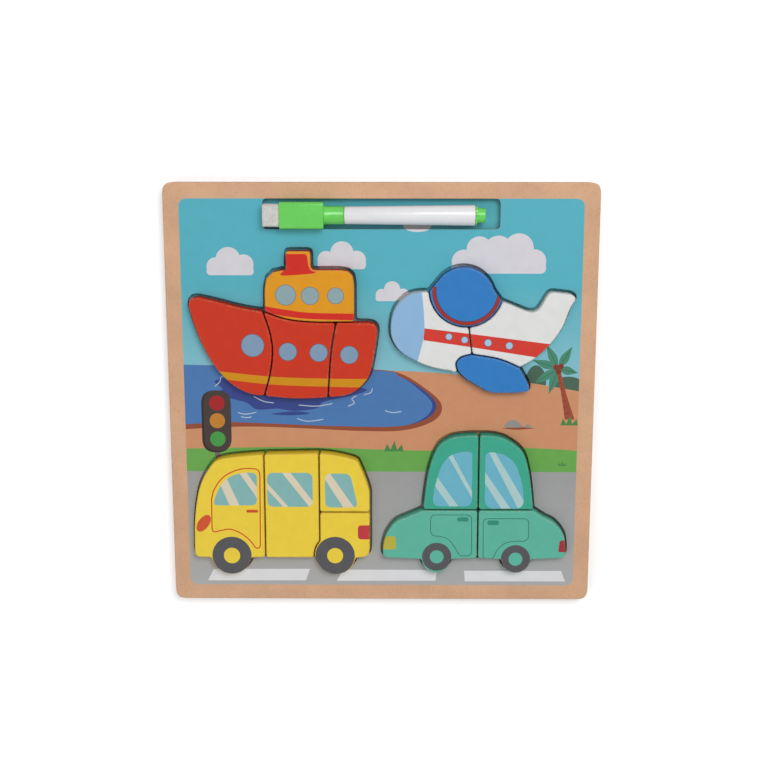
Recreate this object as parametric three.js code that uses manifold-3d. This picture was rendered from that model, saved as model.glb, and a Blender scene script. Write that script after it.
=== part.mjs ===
// A wooden board puzzle with four vehicles of chunky pieces and a dry-erase marker.
// Two glued fibreboard layers carry it: a base, and a frame whose cut-outs hold the chunky pieces.
// Each vehicle is cut into four pieces that share their cut lines, and its cut-out follows their outline.
// Millimetres. The board lies flat, +Z out of the picture, +Y to the picture's top, origin under its middle.

import * as THREE from 'three';
import { mergeVertices } from 'three/addons/utils/BufferGeometryUtils.js';
import Module from 'manifold-3d';

// Layers of the board
const SHEET_THICKNESS = 0.5;
const BASE_THICKNESS = 2.5;
const FRAME_THICKNESS = 4;
const BOARD_CORNER_RADIUS = 5;
const BORDER_WIDTH = 8.3;

// Puzzle pieces
const PIECE_HEIGHT = 9;
const PIECE_EDGE_ROUND = 0.9;
const PIECE_CORNER_RADIUS = 1.4;
const PIECE_GAP = 0.7;
const RECESS_CLEARANCE = 0.8;
const RECESS_CORNER_RADIUS = 1.6;
// The pieces have slid down in their cut-outs by this much, towards the picture's foot
const PIECE_SETTLING = 0.5;
// The vehicles' sizes below were read on the pieces' faces, and grow by this share to their walls
const VEHICLE_GROWTH = 1.013;

// Layout: free room between the vehicles, the marker's slot and the border
const SHIP_TO_LEFT_BORDER = 3.9;
const BUS_TO_LEFT_BORDER = 3.3;
const PLANE_TO_RIGHT_BORDER = 3.4;
const CAR_TO_RIGHT_BORDER = 4.6;
const SHIP_TO_PLANE = 5.7;
const BUS_TO_CAR = 6.3;
const BUS_TO_BOTTOM_BORDER = 7.2;
const CAR_TO_BOTTOM_BORDER = 8.3;
const BUS_TO_SHIP = 28.9;
const CAR_TO_PLANE = 22.1;
const SHIP_TO_SLOT = 10.6;
const PLANE_TO_SLOT = 18.8;

// Ship, measured from its stem's foremost point and from its keel
const SHIP_BOW_LENGTH = 38.2;
const SHIP_MIDSHIP_LENGTH = 33.2;
const SHIP_STERN_LENGTH = 26;
const SHIP_STEM_HEIGHT = 53.4;
const SHIP_STEM_ROUND = 4.6;
const SHIP_DECK_HEIGHT = 40.4;
const SHIP_SHEER_RISE = 5.7;
const SHIP_SHEER_SAG = 0.5;
const SHIP_KEEL_ROCKER = 1.5;
const SHIP_STERN_ROUND = 5;
const SHIP_STERN_RAKE = 5.2;
const SHIP_FORE_CUT_BOW = 4.8;
const SHIP_AFT_CUT_LEAN = 4.4;
const CABIN_TO_BOW = 0.9;
const CABIN_TO_STERN_END = 11.9;
const CABIN_ROOF_HEIGHT = 67.4;
const CABIN_FRONT_ROUND = 10;
const CABIN_BACK_ROUND = 7;
const FUNNEL_SETBACK = 11;
const FUNNEL_WIDTH = 13.3;
const FUNNEL_HEIGHT = 9.6;
const FUNNEL_ROUND = 2;

// Plane, measured from its nose and from the lowest point of its wing
const PLANE_LENGTH = 95.5;
const PLANE_NOSE_HEIGHT = 33.7;
const PLANE_BACK_HEIGHT = 54.1;
const PLANE_BELLY_HEIGHT = 11.2;
const PLANE_BELLY_FULLNESS = 7.3;
const COCKPIT_SETBACK = 37.8;
const COCKPIT_CENTRE_HEIGHT = 49.5;
const COCKPIT_DOME_RADIUS = 16.2;
const COCKPIT_SEAT_RADIUS = 19.1;
const COCKPIT_SEAT_SETBACK = 1.3;
const COCKPIT_SEAT_LIFT = 4.3;
const COCKPIT_SEAT_ANGLES = [182, 343.5].map(THREE.MathUtils.degToRad);
const COCKPIT_DOME_ANGLES = [15.5, 145.5].map(THREE.MathUtils.degToRad);
const FIN_WIDTH = 14.5;
const FIN_HEIGHT = 52.6;
const FIN_ROOT_HEIGHT = 43;
const FIN_ROOT_LEAD = 10.4;
const FIN_HEEL_INSET = 1.6;
const FIN_HEEL_DROP = 5.6;
const WING_SETBACK = 35.5;
const WING_LENGTH = 37;
const WING_ROOT_HEIGHT = 20.6;
const WING_BACK_INSET = 5.3;
const WING_BACK_RISE = 2.5;
const PLANE_CUT_BEHIND_WING_TIP = 6.9;
const PLANE_CUT_BEHIND_SEAT = 1.5;

// Bus, measured from its front end and from the foot of its wheels
const BUS_FRONT_OVERHANG = 19.8;
const BUS_FRONT_CUT_BEHIND_WHEEL = 18.2;
const BUS_MIDDLE_LENGTH = 28.9;
const BUS_REAR_CUT_BEFORE_WHEEL = 8.5;
const BUS_REAR_OVERHANG = 18.4;
const BUS_HEIGHT = 67.2;
const BUS_FLOOR_HEIGHT = 9.4;
const BUS_WAIST_HEIGHT = 34.8;
const BUS_FRONT_ROOF_DROP = 0.6;
const BUS_REAR_ROOF_DROP = 3.6;
const BUS_WHEEL_RADIUS = 11;
const BUS_WHEEL_ARCH_EDGE = 0.6;
const BUS_NOSE_ROUND = 3.5;
const BUS_TAIL_ROUND = 5;

// Car, measured from its front end and from the foot of its wheels
const CAR_HOOD_LENGTH = 21.3;
const CAR_ROOF_LENGTH = 58.7;
const CAR_BOOT_LENGTH = 17.9;
const CAR_FRONT_OVERHANG = 28.7;
const CAR_REAR_OVERHANG = 26.8;
const CAR_HEIGHT = 76;
const CAR_FLOOR_HEIGHT = 8.2;
const CAR_WAIST_HEIGHT = 35.2;
const CAR_WHEEL_RADIUS = 8.1;
const CAR_WHEEL_DROP = 0.6;
const CAR_BUMPER_ROUND = 3.5;

// Marker, along its axis from the eraser
const ERASER_EXPOSED_LENGTH = 8.7;
const ERASER_SEAT_DEPTH = 8;
const ERASER_CORNER_RADIUS = 1;
const CAP_BLOCK_LENGTH = 22.6;
const CAP_BLOCK_WIDTH = 13.6;
const CAP_BLOCK_STEP = 0.35;
const CAP_BLOCK_CORNER_RADIUS = 1.6;
const CAP_POCKET_WALL = 0.8;
const CAP_NECK_LENGTH = 10.6;
const CAP_NECK_DIAMETER = 9.4;
const CAP_NECK_WALL = 1.1;
const BARREL_LENGTH = 66.8;
const BARREL_FRONT_DIAMETER = 9;
const BARREL_REAR_DIAMETER = 10.5;
const BARREL_WALL = 1.2;
const SPIGOT_LENGTH = 6.5;
const NIB_DIAMETER = 3.6;
const NIB_EXPOSED_LENGTH = 6.5;
const NIB_TIP_LENGTH = 1.8;
const NIB_SHOULDER_LENGTH = 2.5;
const NIB_TIP_ROOM = 1.5;
const PLUG_COLLAR_LENGTH = 1.2;
const PLUG_COLLAR_STEP = 0.2;
const PLUG_TAIL_LENGTH = 4.1;
const PLUG_TAIL_DIAMETER = 7.6;
const PLUG_STUB_LENGTH = 6;
const PLUG_EDGE_CHAMFER = 0.5;
const MARKER_CLEARANCE = 0.25;

// Slot of the marker
const SLOT_CORNER_RADIUS = 2.4;
const SLOT_END_GAP = 0.4;
const SLOT_SIDE_GAP = 0.4;
const SLOT_SIDE_PLAY = 2;
const SLOT_SPARE_LENGTH = 7.9;

// Fineness of the curves
const SPLINE_STEPS = 3;
const SWEEP_STEPS = 14;
const CORNER_STEPS = 3;
const WHEEL_STEPS = 10;
const DOME_STEPS = 14;
const EDGE_STEPS = 2;
const TURNED_SIDES = 24;
const SHARP_TURN = THREE.MathUtils.degToRad(28);
const CORNER_ROOM = 0.45;
const LEAST_MITRE = 0.5;
const SAME_POINT = 0.05;

const BASE_TOP = SHEET_THICKNESS + BASE_THICKNESS;
const CAP_BLOCK_THICKNESS = BARREL_REAR_DIAMETER + 2 * CAP_BLOCK_STEP;

const wasm = await Module();
wasm.setup();

// Outlines: strokes are lists of points, and run anticlockwise round a piece

function spot(pair) {
  return new THREE.Vector2(pair[0], pair[1]);
}

function line(...pairs) {
  return pairs.map(spot);
}

function spline(...pairs) {
  return new THREE.SplineCurve(pairs.map(spot)).getPoints(SPLINE_STEPS * (pairs.length - 1));
}

function bend(from, corner, to) {
  return new THREE.QuadraticBezierCurve(spot(from), spot(corner), spot(to)).getPoints(CORNER_STEPS);
}

// A rounded corner between two edges, given by the directions from the corner to each
function corner(point, before, after, radius) {
  const reach = (direction) => [point[0] + radius * direction[0], point[1] + radius * direction[1]];
  return bend(reach(before), point, reach(after));
}

function sweep(from, firstHandle, secondHandle, to) {
  const curve = new THREE.CubicBezierCurve(spot(from), spot(firstHandle), spot(secondHandle), spot(to));
  return curve.getPoints(SWEEP_STEPS);
}

// A point part of the way between two others, lifted off their line
function between(from, to, share, lift = 0) {
  return [from[0] + share * (to[0] - from[0]), from[1] + share * (to[1] - from[1]) + lift];
}

function arc(centre, radius, startAngle, endAngle, steps) {
  const clockwise = endAngle < startAngle;
  const curve = new THREE.EllipseCurve(centre[0], centre[1], radius, radius, startAngle, endAngle, clockwise);
  return curve.getPoints(steps);
}

function back(stroke) {
  return [...stroke].reverse();
}

function outline(...strokes) {
  const points = [];
  for (const point of strokes.flat()) {
    const last = points[points.length - 1];
    if (!last || last.distanceTo(point) > SAME_POINT) points.push(point);
  }
  if (points[0].distanceTo(points[points.length - 1]) <= SAME_POINT) points.pop();
  return points;
}

function edgeNormal(from, to) {
  const along = to.clone().sub(from).normalize();
  return new THREE.Vector2(along.y, -along.x);
}

// Moves every edge outwards by a distance, or inwards where it is negative, and drops edges that turn over
function offset(points, distance) {
  const shifted = points.map((point, index) => {
    const before = points[(index + points.length - 1) % points.length];
    const after = points[(index + 1) % points.length];
    const first = edgeNormal(before, point);
    const second = edgeNormal(point, after);
    const middle = first.clone().add(second).normalize();
    return point.clone().addScaledVector(middle, distance / Math.max(middle.dot(first), LEAST_MITRE));
  });
  return shifted.filter((point, index) => {
    const next = (index + 1) % points.length;
    const along = points[next].clone().sub(points[index]);
    return shifted[next].clone().sub(point).dot(along) > 0;
  });
}

// Rounds every corner that turns sharply, as far as its edges leave room
function roundCorners(points, radius) {
  const rounded = points.map((point, index) => {
    const before = points[(index + points.length - 1) % points.length];
    const after = points[(index + 1) % points.length];
    const inward = before.clone().sub(point);
    const outward = after.clone().sub(point);
    const turn = Math.PI - Math.abs(inward.angleTo(outward));
    if (turn < SHARP_TURN) return [point];
    const room = CORNER_ROOM * Math.min(inward.length(), outward.length());
    const reach = Math.min(radius * Math.tan(turn / 2), room);
    const start = point.clone().addScaledVector(inward.normalize(), reach);
    const end = point.clone().addScaledVector(outward.normalize(), reach);
    return new THREE.QuadraticBezierCurve(start, point, end).getPoints(CORNER_STEPS);
  });
  return outline(...rounded);
}

function moved(points, shift) {
  return points.map((point) => point.clone().add(shift));
}

function grown(outlines) {
  const entries = Object.entries(outlines).map(([name, points]) => [
    name,
    points.map((point) => point.clone().multiplyScalar(VEHICLE_GROWTH)),
  ]);
  return Object.fromEntries(entries);
}

function extent(points) {
  return new THREE.Box2().setFromPoints(points).getSize(new THREE.Vector2());
}

function roundedRectangle(left, bottom, width, height, radius) {
  const right = left + width;
  const top = bottom + height;
  return outline(
    corner([left, bottom], [0, 1], [1, 0], radius),
    corner([right, bottom], [-1, 0], [0, 1], radius),
    corner([right, top], [0, -1], [-1, 0], radius),
    corner([left, top], [1, 0], [0, -1], radius),
  );
}

// Ship: bow, midship and stern make the hull, and the cabin with its funnel stands on the deck

function shipOutlines() {
  const foreCutX = SHIP_BOW_LENGTH;
  const aftCutX = foreCutX + SHIP_MIDSHIP_LENGTH;
  const length = aftCutX + SHIP_STERN_LENGTH;
  const cabinFront = foreCutX + CABIN_TO_BOW;
  const cabinBack = length - CABIN_TO_STERN_END;
  const funnelFront = cabinFront + FUNNEL_SETBACK;
  const funnelBack = funnelFront + FUNNEL_WIDTH;
  const funnelTop = CABIN_ROOF_HEIGHT + FUNNEL_HEIGHT;
  const stemTop = [SHIP_STEM_ROUND, SHIP_STEM_HEIGHT];
  const stemFace = [0, SHIP_STEM_HEIGHT - SHIP_STEM_ROUND];
  const sheerFoot = [foreCutX, SHIP_DECK_HEIGHT + SHIP_SHEER_RISE];
  const cabinFoot = [cabinFront, sheerFoot[1]];
  const foreKeel = [foreCutX, SHIP_KEEL_ROCKER];
  const midKeel = [(foreCutX + aftCutX) / 2, 0];
  const aftKeel = [aftCutX, SHIP_KEEL_ROCKER / 2];
  const deckAft = [aftCutX + SHIP_AFT_CUT_LEAN, SHIP_DECK_HEIGHT];
  const cabinHeel = [cabinBack, SHIP_DECK_HEIGHT];
  const sternTop = [length - SHIP_STERN_ROUND, SHIP_DECK_HEIGHT];
  const sternFace = [length, SHIP_DECK_HEIGHT - SHIP_STERN_ROUND];

  const sheer = spline(
    sheerFoot,
    between(sheerFoot, stemTop, 0.34, -SHIP_SHEER_SAG),
    between(sheerFoot, stemTop, 0.7),
    stemTop,
  );
  const stemHead = bend(stemTop, [0, SHIP_STEM_HEIGHT], stemFace);
  const stem = sweep(
    stemFace,
    [0.1 * foreCutX, 0.6 * SHIP_STEM_HEIGHT],
    [0.38 * foreCutX, SHIP_KEEL_ROCKER],
    foreKeel,
  );
  const keel = spline(foreKeel, midKeel, aftKeel);
  const sternBilge = spline(
    aftKeel,
    [length - 2.7 * SHIP_STERN_RAKE, 0.065 * SHIP_DECK_HEIGHT],
    [length - SHIP_STERN_RAKE, 0.26 * SHIP_DECK_HEIGHT],
    [length - 0.42 * SHIP_STERN_RAKE, 0.51 * SHIP_DECK_HEIGHT],
    sternFace,
  );
  const sternHead = bend(sternFace, [length, SHIP_DECK_HEIGHT], sternTop);
  const foreCut = spline(
    foreKeel,
    [foreCutX + 0.7 * SHIP_FORE_CUT_BOW, 0.29 * sheerFoot[1]],
    [foreCutX + SHIP_FORE_CUT_BOW, 0.56 * sheerFoot[1]],
    [foreCutX + 0.7 * SHIP_FORE_CUT_BOW, 0.78 * sheerFoot[1]],
    sheerFoot,
  );
  const aftCut = spline(aftKeel, [aftCutX + 0.38 * SHIP_AFT_CUT_LEAN, 0.6 * SHIP_DECK_HEIGHT], deckAft);
  const deckCut = spline(
    sheerFoot,
    between(sheerFoot, deckAft, 0.33, -0.42 * SHIP_SHEER_RISE),
    between(sheerFoot, deckAft, 0.7, -0.3 * SHIP_SHEER_RISE),
    deckAft,
  );
  const cabinTop = outline(
    line(cabinHeel),
    corner([cabinBack, CABIN_ROOF_HEIGHT], [0, -1], [-1, 0], CABIN_BACK_ROUND),
    corner([funnelBack, CABIN_ROOF_HEIGHT], [1, 0], [0, 1], FUNNEL_ROUND),
    corner([funnelBack, funnelTop], [0, -1], [-1, 0], FUNNEL_ROUND),
    corner([funnelFront, funnelTop], [1, 0], [0, -1], FUNNEL_ROUND),
    line([funnelFront, CABIN_ROOF_HEIGHT]),
    corner([cabinFront, CABIN_ROOF_HEIGHT], [1, 0], [0, -1], CABIN_FRONT_ROUND),
  );
  return {
    ship_bow: outline(stemHead, stem, foreCut, sheer),
    ship_midship: outline(back(foreCut), keel, aftCut, back(deckCut)),
    ship_stern: outline(back(aftCut), sternBilge, sternHead),
    ship_cabin: outline(line(cabinFoot), deckCut.slice(1), cabinTop),
    silhouette: outline(
      stemHead,
      stem,
      keel,
      sternBilge,
      sternHead,
      cabinTop,
      line(cabinFoot),
      sheer.slice(1),
    ),
  };
}

// Plane: nose and tail make the fuselage, a round cockpit sits on top and a wing hangs below

function planeOutlines() {
  const domeCentre = [COCKPIT_SETBACK, COCKPIT_CENTRE_HEIGHT];
  const seatCentre = [COCKPIT_SETBACK + COCKPIT_SEAT_SETBACK, COCKPIT_CENTRE_HEIGHT + COCKPIT_SEAT_LIFT];
  const seatPoint = (angle) => [
    seatCentre[0] + COCKPIT_SEAT_RADIUS * Math.cos(angle),
    seatCentre[1] + COCKPIT_SEAT_RADIUS * Math.sin(angle),
  ];
  const [seatStart, seatEnd] = COCKPIT_SEAT_ANGLES;
  const seatCut = 1.5 * Math.PI + Math.asin(PLANE_CUT_BEHIND_SEAT / COCKPIT_SEAT_RADIUS);
  const [domeStart, domeEnd] = COCKPIT_DOME_ANGLES;
  const wingFront = [WING_SETBACK, PLANE_BELLY_HEIGHT];
  const wingEnd = WING_SETBACK + WING_LENGTH;
  const wingBack = [wingEnd - WING_BACK_INSET, PLANE_BELLY_HEIGHT + WING_BACK_RISE];
  const cutFoot = [WING_SETBACK + PLANE_CUT_BEHIND_WING_TIP, WING_ROOT_HEIGHT];
  const finFront = PLANE_LENGTH - FIN_WIDTH;
  const finHeel = [PLANE_LENGTH - FIN_HEEL_INSET, FIN_HEIGHT - FIN_HEEL_DROP];
  const finRoot = [finFront - FIN_ROOT_LEAD, FIN_ROOT_HEIGHT];
  const noseRise = (share) => PLANE_BELLY_HEIGHT + share * (PLANE_NOSE_HEIGHT - PLANE_BELLY_HEIGHT);

  const nose = spline(
    seatPoint(seatStart),
    [0.27 * COCKPIT_SETBACK, PLANE_BACK_HEIGHT - 2],
    [0.06 * COCKPIT_SETBACK, PLANE_BACK_HEIGHT - 9.6],
    [0, PLANE_NOSE_HEIGHT],
    [0.06 * WING_SETBACK, noseRise(0.65)],
    [0.23 * WING_SETBACK, noseRise(0.37)],
    [0.6 * WING_SETBACK, noseRise(0.107)],
    wingFront,
  );
  const wingCutNose = spline(
    wingFront,
    [WING_SETBACK - 1.4, PLANE_BELLY_HEIGHT + 4.4],
    [WING_SETBACK + 1.3, WING_ROOT_HEIGHT - 1.4],
    cutFoot,
  );
  const wingCutTail = spline(
    cutFoot,
    between(cutFoot, wingBack, 0.47, 1.4),
    between(cutFoot, wingBack, 0.75, 1.1),
    wingBack,
  );
  const wingEdge = spline(
    wingFront,
    [WING_SETBACK + 3.8, 0.66 * PLANE_BELLY_HEIGHT],
    [WING_SETBACK + 10.6, 0.3 * PLANE_BELLY_HEIGHT],
    [WING_SETBACK + 16, 0.054 * PLANE_BELLY_HEIGHT],
    [WING_SETBACK + 22, 0],
    [wingEnd - 2, 0.6],
    [wingEnd, 3],
    [wingEnd - 1.5, 0.64 * PLANE_BELLY_HEIGHT],
    wingBack,
  );
  const belly = spline(
    wingBack,
    between(wingBack, finHeel, 0.28, -0.68 * PLANE_BELLY_FULLNESS),
    between(wingBack, finHeel, 0.58, -PLANE_BELLY_FULLNESS),
    between(wingBack, finHeel, 0.81, -0.82 * PLANE_BELLY_FULLNESS),
    between(wingBack, finHeel, 0.925, -0.2 * PLANE_BELLY_FULLNESS),
    finHeel,
  );
  const finTop = outline(
    bend(finHeel, [PLANE_LENGTH + 1.6, FIN_HEIGHT - 2.4], [PLANE_LENGTH - 3, FIN_HEIGHT - 0.6]),
    bend([finFront + 2.6, FIN_HEIGHT + 0.4], [finFront, FIN_HEIGHT + 0.6], [finFront - 1.2, FIN_HEIGHT - 2]),
    bend([finFront - 4.2, FIN_ROOT_HEIGHT + 2.4], [finFront - 6.2, FIN_ROOT_HEIGHT - 1.2], finRoot),
  );
  const spine = line(finRoot, seatPoint(seatEnd));
  const seat = arc(seatCentre, COCKPIT_SEAT_RADIUS, seatStart, seatEnd, DOME_STEPS);
  const seatNose = arc(seatCentre, COCKPIT_SEAT_RADIUS, seatCut, seatStart, DOME_STEPS / 2);
  const seatTail = arc(seatCentre, COCKPIT_SEAT_RADIUS, seatEnd, seatCut, DOME_STEPS / 2);
  const dome = arc(domeCentre, COCKPIT_DOME_RADIUS, domeStart, domeEnd, DOME_STEPS);
  const cut = line(cutFoot, seatPoint(seatCut));
  return {
    plane_nose: outline(nose, wingCutNose, cut, seatNose),
    plane_tail: outline(wingCutTail, belly, finTop, spine, seatTail, back(cut)),
    plane_cockpit: outline(seat, dome),
    plane_wing: outline(wingEdge, back(wingCutTail), back(wingCutNose)),
    silhouette: outline(nose, wingEdge, belly, finTop, spine, dome),
  };
}

// The part of a wheel that stands out below the floor of a bus or car
function bulge(wheel, radius, floor) {
  const rise = Math.asin((radius - floor) / radius);
  return arc([wheel, radius], radius, Math.PI + rise, 2 * Math.PI - rise, WHEEL_STEPS);
}

// Bus: a front, a middle, and a rear that is split at its waist

function busOutlines() {
  const frontCutX = BUS_FRONT_OVERHANG + BUS_FRONT_CUT_BEHIND_WHEEL;
  const rearCutX = frontCutX + BUS_MIDDLE_LENGTH;
  const rearWheel = rearCutX + BUS_REAR_CUT_BEFORE_WHEEL;
  const length = rearWheel + BUS_REAR_OVERHANG;
  const roofRear = [rearCutX, BUS_HEIGHT];
  const waistFront = [rearCutX, BUS_WAIST_HEIGHT];
  const waistBack = [length, BUS_WAIST_HEIGHT];
  const frontFoot = [frontCutX, BUS_FLOOR_HEIGHT];
  const frontTop = [frontCutX, BUS_HEIGHT - BUS_FRONT_ROOF_DROP];
  const archRadius = BUS_WHEEL_RADIUS + BUS_WHEEL_ARCH_EDGE;
  const archStart = Math.PI + Math.asin((BUS_WHEEL_RADIUS - BUS_FLOOR_HEIGHT) / archRadius);
  const archEnd = Math.PI - Math.acos(BUS_REAR_CUT_BEFORE_WHEEL / archRadius);

  const nose = outline(
    spline(
      frontTop,
      [0.68 * frontCutX, BUS_HEIGHT - 1.6],
      [0.42 * frontCutX, BUS_HEIGHT - 3],
      [0.276 * frontCutX, BUS_HEIGHT - 6.2],
      [0.1 * frontCutX, 0.734 * BUS_HEIGHT],
      [0.016 * frontCutX, 0.476 * BUS_HEIGHT],
      [0, BUS_FLOOR_HEIGHT + 2 * BUS_NOSE_ROUND],
    ),
    corner([0, BUS_FLOOR_HEIGHT], [0, 1], [1, 0], BUS_NOSE_ROUND),
  );
  const frontBulge = bulge(BUS_FRONT_OVERHANG, BUS_WHEEL_RADIUS, BUS_FLOOR_HEIGHT);
  const rearBulge = bulge(rearWheel, BUS_WHEEL_RADIUS, BUS_FLOOR_HEIGHT);
  const frontCut = line(frontFoot, frontTop);
  const arch = arc([rearWheel, BUS_WHEEL_RADIUS], archRadius, archStart, archEnd, WHEEL_STEPS / 2);
  const rearCut = line(arch[arch.length - 1].toArray(), waistFront);
  const tail = outline(
    line(waistBack),
    spline(
      [length, 0.677 * BUS_HEIGHT],
      [length - 1.5, 0.76 * BUS_HEIGHT],
      [length - 5, BUS_HEIGHT - 7.4],
      [length - 7.8, BUS_HEIGHT - BUS_REAR_ROOF_DROP],
      [length - 18.6, BUS_HEIGHT - 0.9],
      roofRear,
    ),
  );
  const rump = corner([length, BUS_FLOOR_HEIGHT], [-1, 0], [0, 1], BUS_TAIL_ROUND);
  return {
    bus_front: outline(nose, frontBulge, frontCut),
    bus_middle: outline(back(frontCut), arch, rearCut, line(roofRear)),
    bus_rear_top: outline(line(waistFront), tail),
    bus_rear_bottom: outline(back(rearCut), back(arch), rearBulge, rump, line(waistBack)),
    silhouette: outline(nose, frontBulge, arch.slice(0, 1), rearBulge, rump, tail),
  };
}

// Car: two roof halves on two body halves

function carOutlines() {
  const roofStart = CAR_HOOD_LENGTH;
  const roofEnd = roofStart + CAR_ROOF_LENGTH;
  const length = roofEnd + CAR_BOOT_LENGTH;
  const half = CAR_ROOF_LENGTH / 2;
  const middle = roofStart + half;
  const crossing = [middle, CAR_WAIST_HEIGHT];
  const roofTop = [middle, CAR_HEIGHT];
  const foot = [middle, CAR_FLOOR_HEIGHT];
  const roofFront = [roofStart, CAR_WAIST_HEIGHT];
  const roofBack = [roofEnd, CAR_WAIST_HEIGHT];
  const bulgeFloor = CAR_FLOOR_HEIGHT - CAR_WHEEL_DROP;

  const frontPillar = spline(
    [roofStart + 0.86 * half, CAR_HEIGHT],
    [roofStart + 0.58 * half, CAR_HEIGHT - 0.8],
    [roofStart + 0.4 * half, CAR_HEIGHT - 2.8],
    [roofStart + 0.24 * half, CAR_HEIGHT - 7.4],
    [roofStart + 0.09 * half, 0.733 * CAR_HEIGHT],
    roofFront,
  );
  const backPillar = spline(
    roofBack,
    [roofEnd - 0.065 * half, 0.684 * CAR_HEIGHT],
    [roofEnd - 0.19 * half, CAR_HEIGHT - 10],
    [roofEnd - 0.457 * half, CAR_HEIGHT - 3.2],
    [roofEnd - 0.65 * half, CAR_HEIGHT - 0.8],
    [roofEnd - 0.84 * half, CAR_HEIGHT],
  );
  const hood = outline(
    spline(
      roofFront,
      [0.56 * CAR_HOOD_LENGTH, CAR_WAIST_HEIGHT - 4],
      [0.29 * CAR_HOOD_LENGTH, CAR_WAIST_HEIGHT - 7],
      [0.075 * CAR_HOOD_LENGTH, CAR_WAIST_HEIGHT - 14],
      [0, CAR_FLOOR_HEIGHT + 6],
    ),
    corner([0, CAR_FLOOR_HEIGHT], [0, 1], [1, 0], CAR_BUMPER_ROUND),
  );
  const boot = outline(
    corner([length, CAR_FLOOR_HEIGHT], [-1, 0], [0, 1], CAR_BUMPER_ROUND),
    spline(
      [length - 0.01 * CAR_BOOT_LENGTH, CAR_FLOOR_HEIGHT + 7],
      [length - 0.09 * CAR_BOOT_LENGTH, CAR_WAIST_HEIGHT - 13],
      [length - 0.37 * CAR_BOOT_LENGTH, CAR_WAIST_HEIGHT - 6.8],
      [length - 0.67 * CAR_BOOT_LENGTH, CAR_WAIST_HEIGHT - 3.9],
      roofBack,
    ),
  );
  const frontBulge = bulge(CAR_FRONT_OVERHANG, CAR_WHEEL_RADIUS, bulgeFloor);
  const rearBulge = bulge(length - CAR_REAR_OVERHANG, CAR_WHEEL_RADIUS, bulgeFloor);
  const roofCut = line(crossing, roofTop);
  const bodyCut = line(foot, crossing);
  return {
    car_roof_front: outline(line(roofFront), roofCut, frontPillar),
    car_roof_rear: outline(back(roofCut), backPillar),
    car_body_front: outline(hood, frontBulge, bodyCut),
    car_body_rear: outline(back(bodyCut), rearBulge, boot),
    silhouette: outline(hood, frontBulge, rearBulge, boot, backPillar, line(roofTop), frontPillar),
  };
}

// Solids

function plate(points, holes, thickness, bottom) {
  const shape = new THREE.Shape(points);
  shape.holes = holes.map((hole) => new THREE.Path(hole));
  const geometry = new THREE.ExtrudeGeometry(shape, { depth: thickness, bevelEnabled: false });
  return geometry.translate(0, 0, bottom);
}

// A plate with rounded edges, whose walls stand outside the outline of its faces by the edges' radius
function easedPlate(face, thickness, bottom, edge) {
  const geometry = new THREE.ExtrudeGeometry(new THREE.Shape(face), {
    depth: thickness - 2 * edge,
    bevelThickness: edge,
    bevelSize: edge,
    bevelSegments: EDGE_STEPS,
  });
  return geometry.translate(0, 0, bottom + edge);
}

// Turns a profile of [distance along the axis, radius] pairs about the X axis
function turned(profile) {
  const points = profile.map(([along, radius]) => new THREE.Vector2(radius, along));
  return new THREE.LatheGeometry(points, TURNED_SIDES).rotateZ(-Math.PI / 2);
}

function toSolid(geometry) {
  const bare = geometry.clone();
  bare.deleteAttribute('normal');
  bare.deleteAttribute('uv');
  const merged = mergeVertices(bare);
  return new wasm.Manifold(new wasm.Mesh({
    numProp: 3,
    vertProperties: new Float32Array(merged.attributes.position.array),
    triVerts: new Uint32Array(merged.index.array),
  }));
}

function toGeometry(solid) {
  const mesh = solid.getMesh();
  const geometry = new THREE.BufferGeometry();
  geometry.setAttribute('position', new THREE.BufferAttribute(mesh.vertProperties, 3));
  geometry.setIndex(new THREE.BufferAttribute(mesh.triVerts, 1));
  geometry.computeVertexNormals();
  return geometry;
}

function addPiece(parent, name, geometry, colour, roughness) {
  const material = new THREE.MeshStandardMaterial({ color: colour, roughness, metalness: 0 });
  const mesh = new THREE.Mesh(geometry, material);
  mesh.name = name;
  parent.add(mesh);
}

// Layout: the vehicles' own extents and the free room round them give the size of the picture

const vehicles = {
  ship: grown(shipOutlines()),
  plane: grown(planeOutlines()),
  bus: grown(busOutlines()),
  car: grown(carOutlines()),
};
const sizes = {};
for (const [name, outlines] of Object.entries(vehicles)) sizes[name] = extent(outlines.silhouette);

const markerLength = ERASER_EXPOSED_LENGTH + CAP_BLOCK_LENGTH + CAP_NECK_LENGTH + BARREL_LENGTH
  + PLUG_COLLAR_LENGTH + PLUG_TAIL_LENGTH;
const slotLength = SLOT_END_GAP + markerLength + SLOT_SPARE_LENGTH;
const slotHeight = CAP_BLOCK_WIDTH + SLOT_SIDE_PLAY;

const pictureWidth = Math.max(
  SHIP_TO_LEFT_BORDER + sizes.ship.x + SHIP_TO_PLANE + sizes.plane.x + PLANE_TO_RIGHT_BORDER,
  BUS_TO_LEFT_BORDER + sizes.bus.x + BUS_TO_CAR + sizes.car.x + CAR_TO_RIGHT_BORDER,
);
const pictureHeight = slotHeight + Math.max(
  BUS_TO_BOTTOM_BORDER + sizes.bus.y + BUS_TO_SHIP + sizes.ship.y + SHIP_TO_SLOT,
  CAR_TO_BOTTOM_BORDER + sizes.car.y + CAR_TO_PLANE + sizes.plane.y + PLANE_TO_SLOT,
);
const boardWidth = pictureWidth + 2 * BORDER_WIDTH;
const boardHeight = pictureHeight + 2 * BORDER_WIDTH;
const pictureLeft = -pictureWidth / 2;
const pictureRight = pictureWidth / 2;
const pictureBottom = -pictureHeight / 2;
const pictureTop = pictureHeight / 2;
const slotBottom = pictureTop - slotHeight;
const slotLeft = -slotLength / 2;

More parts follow.
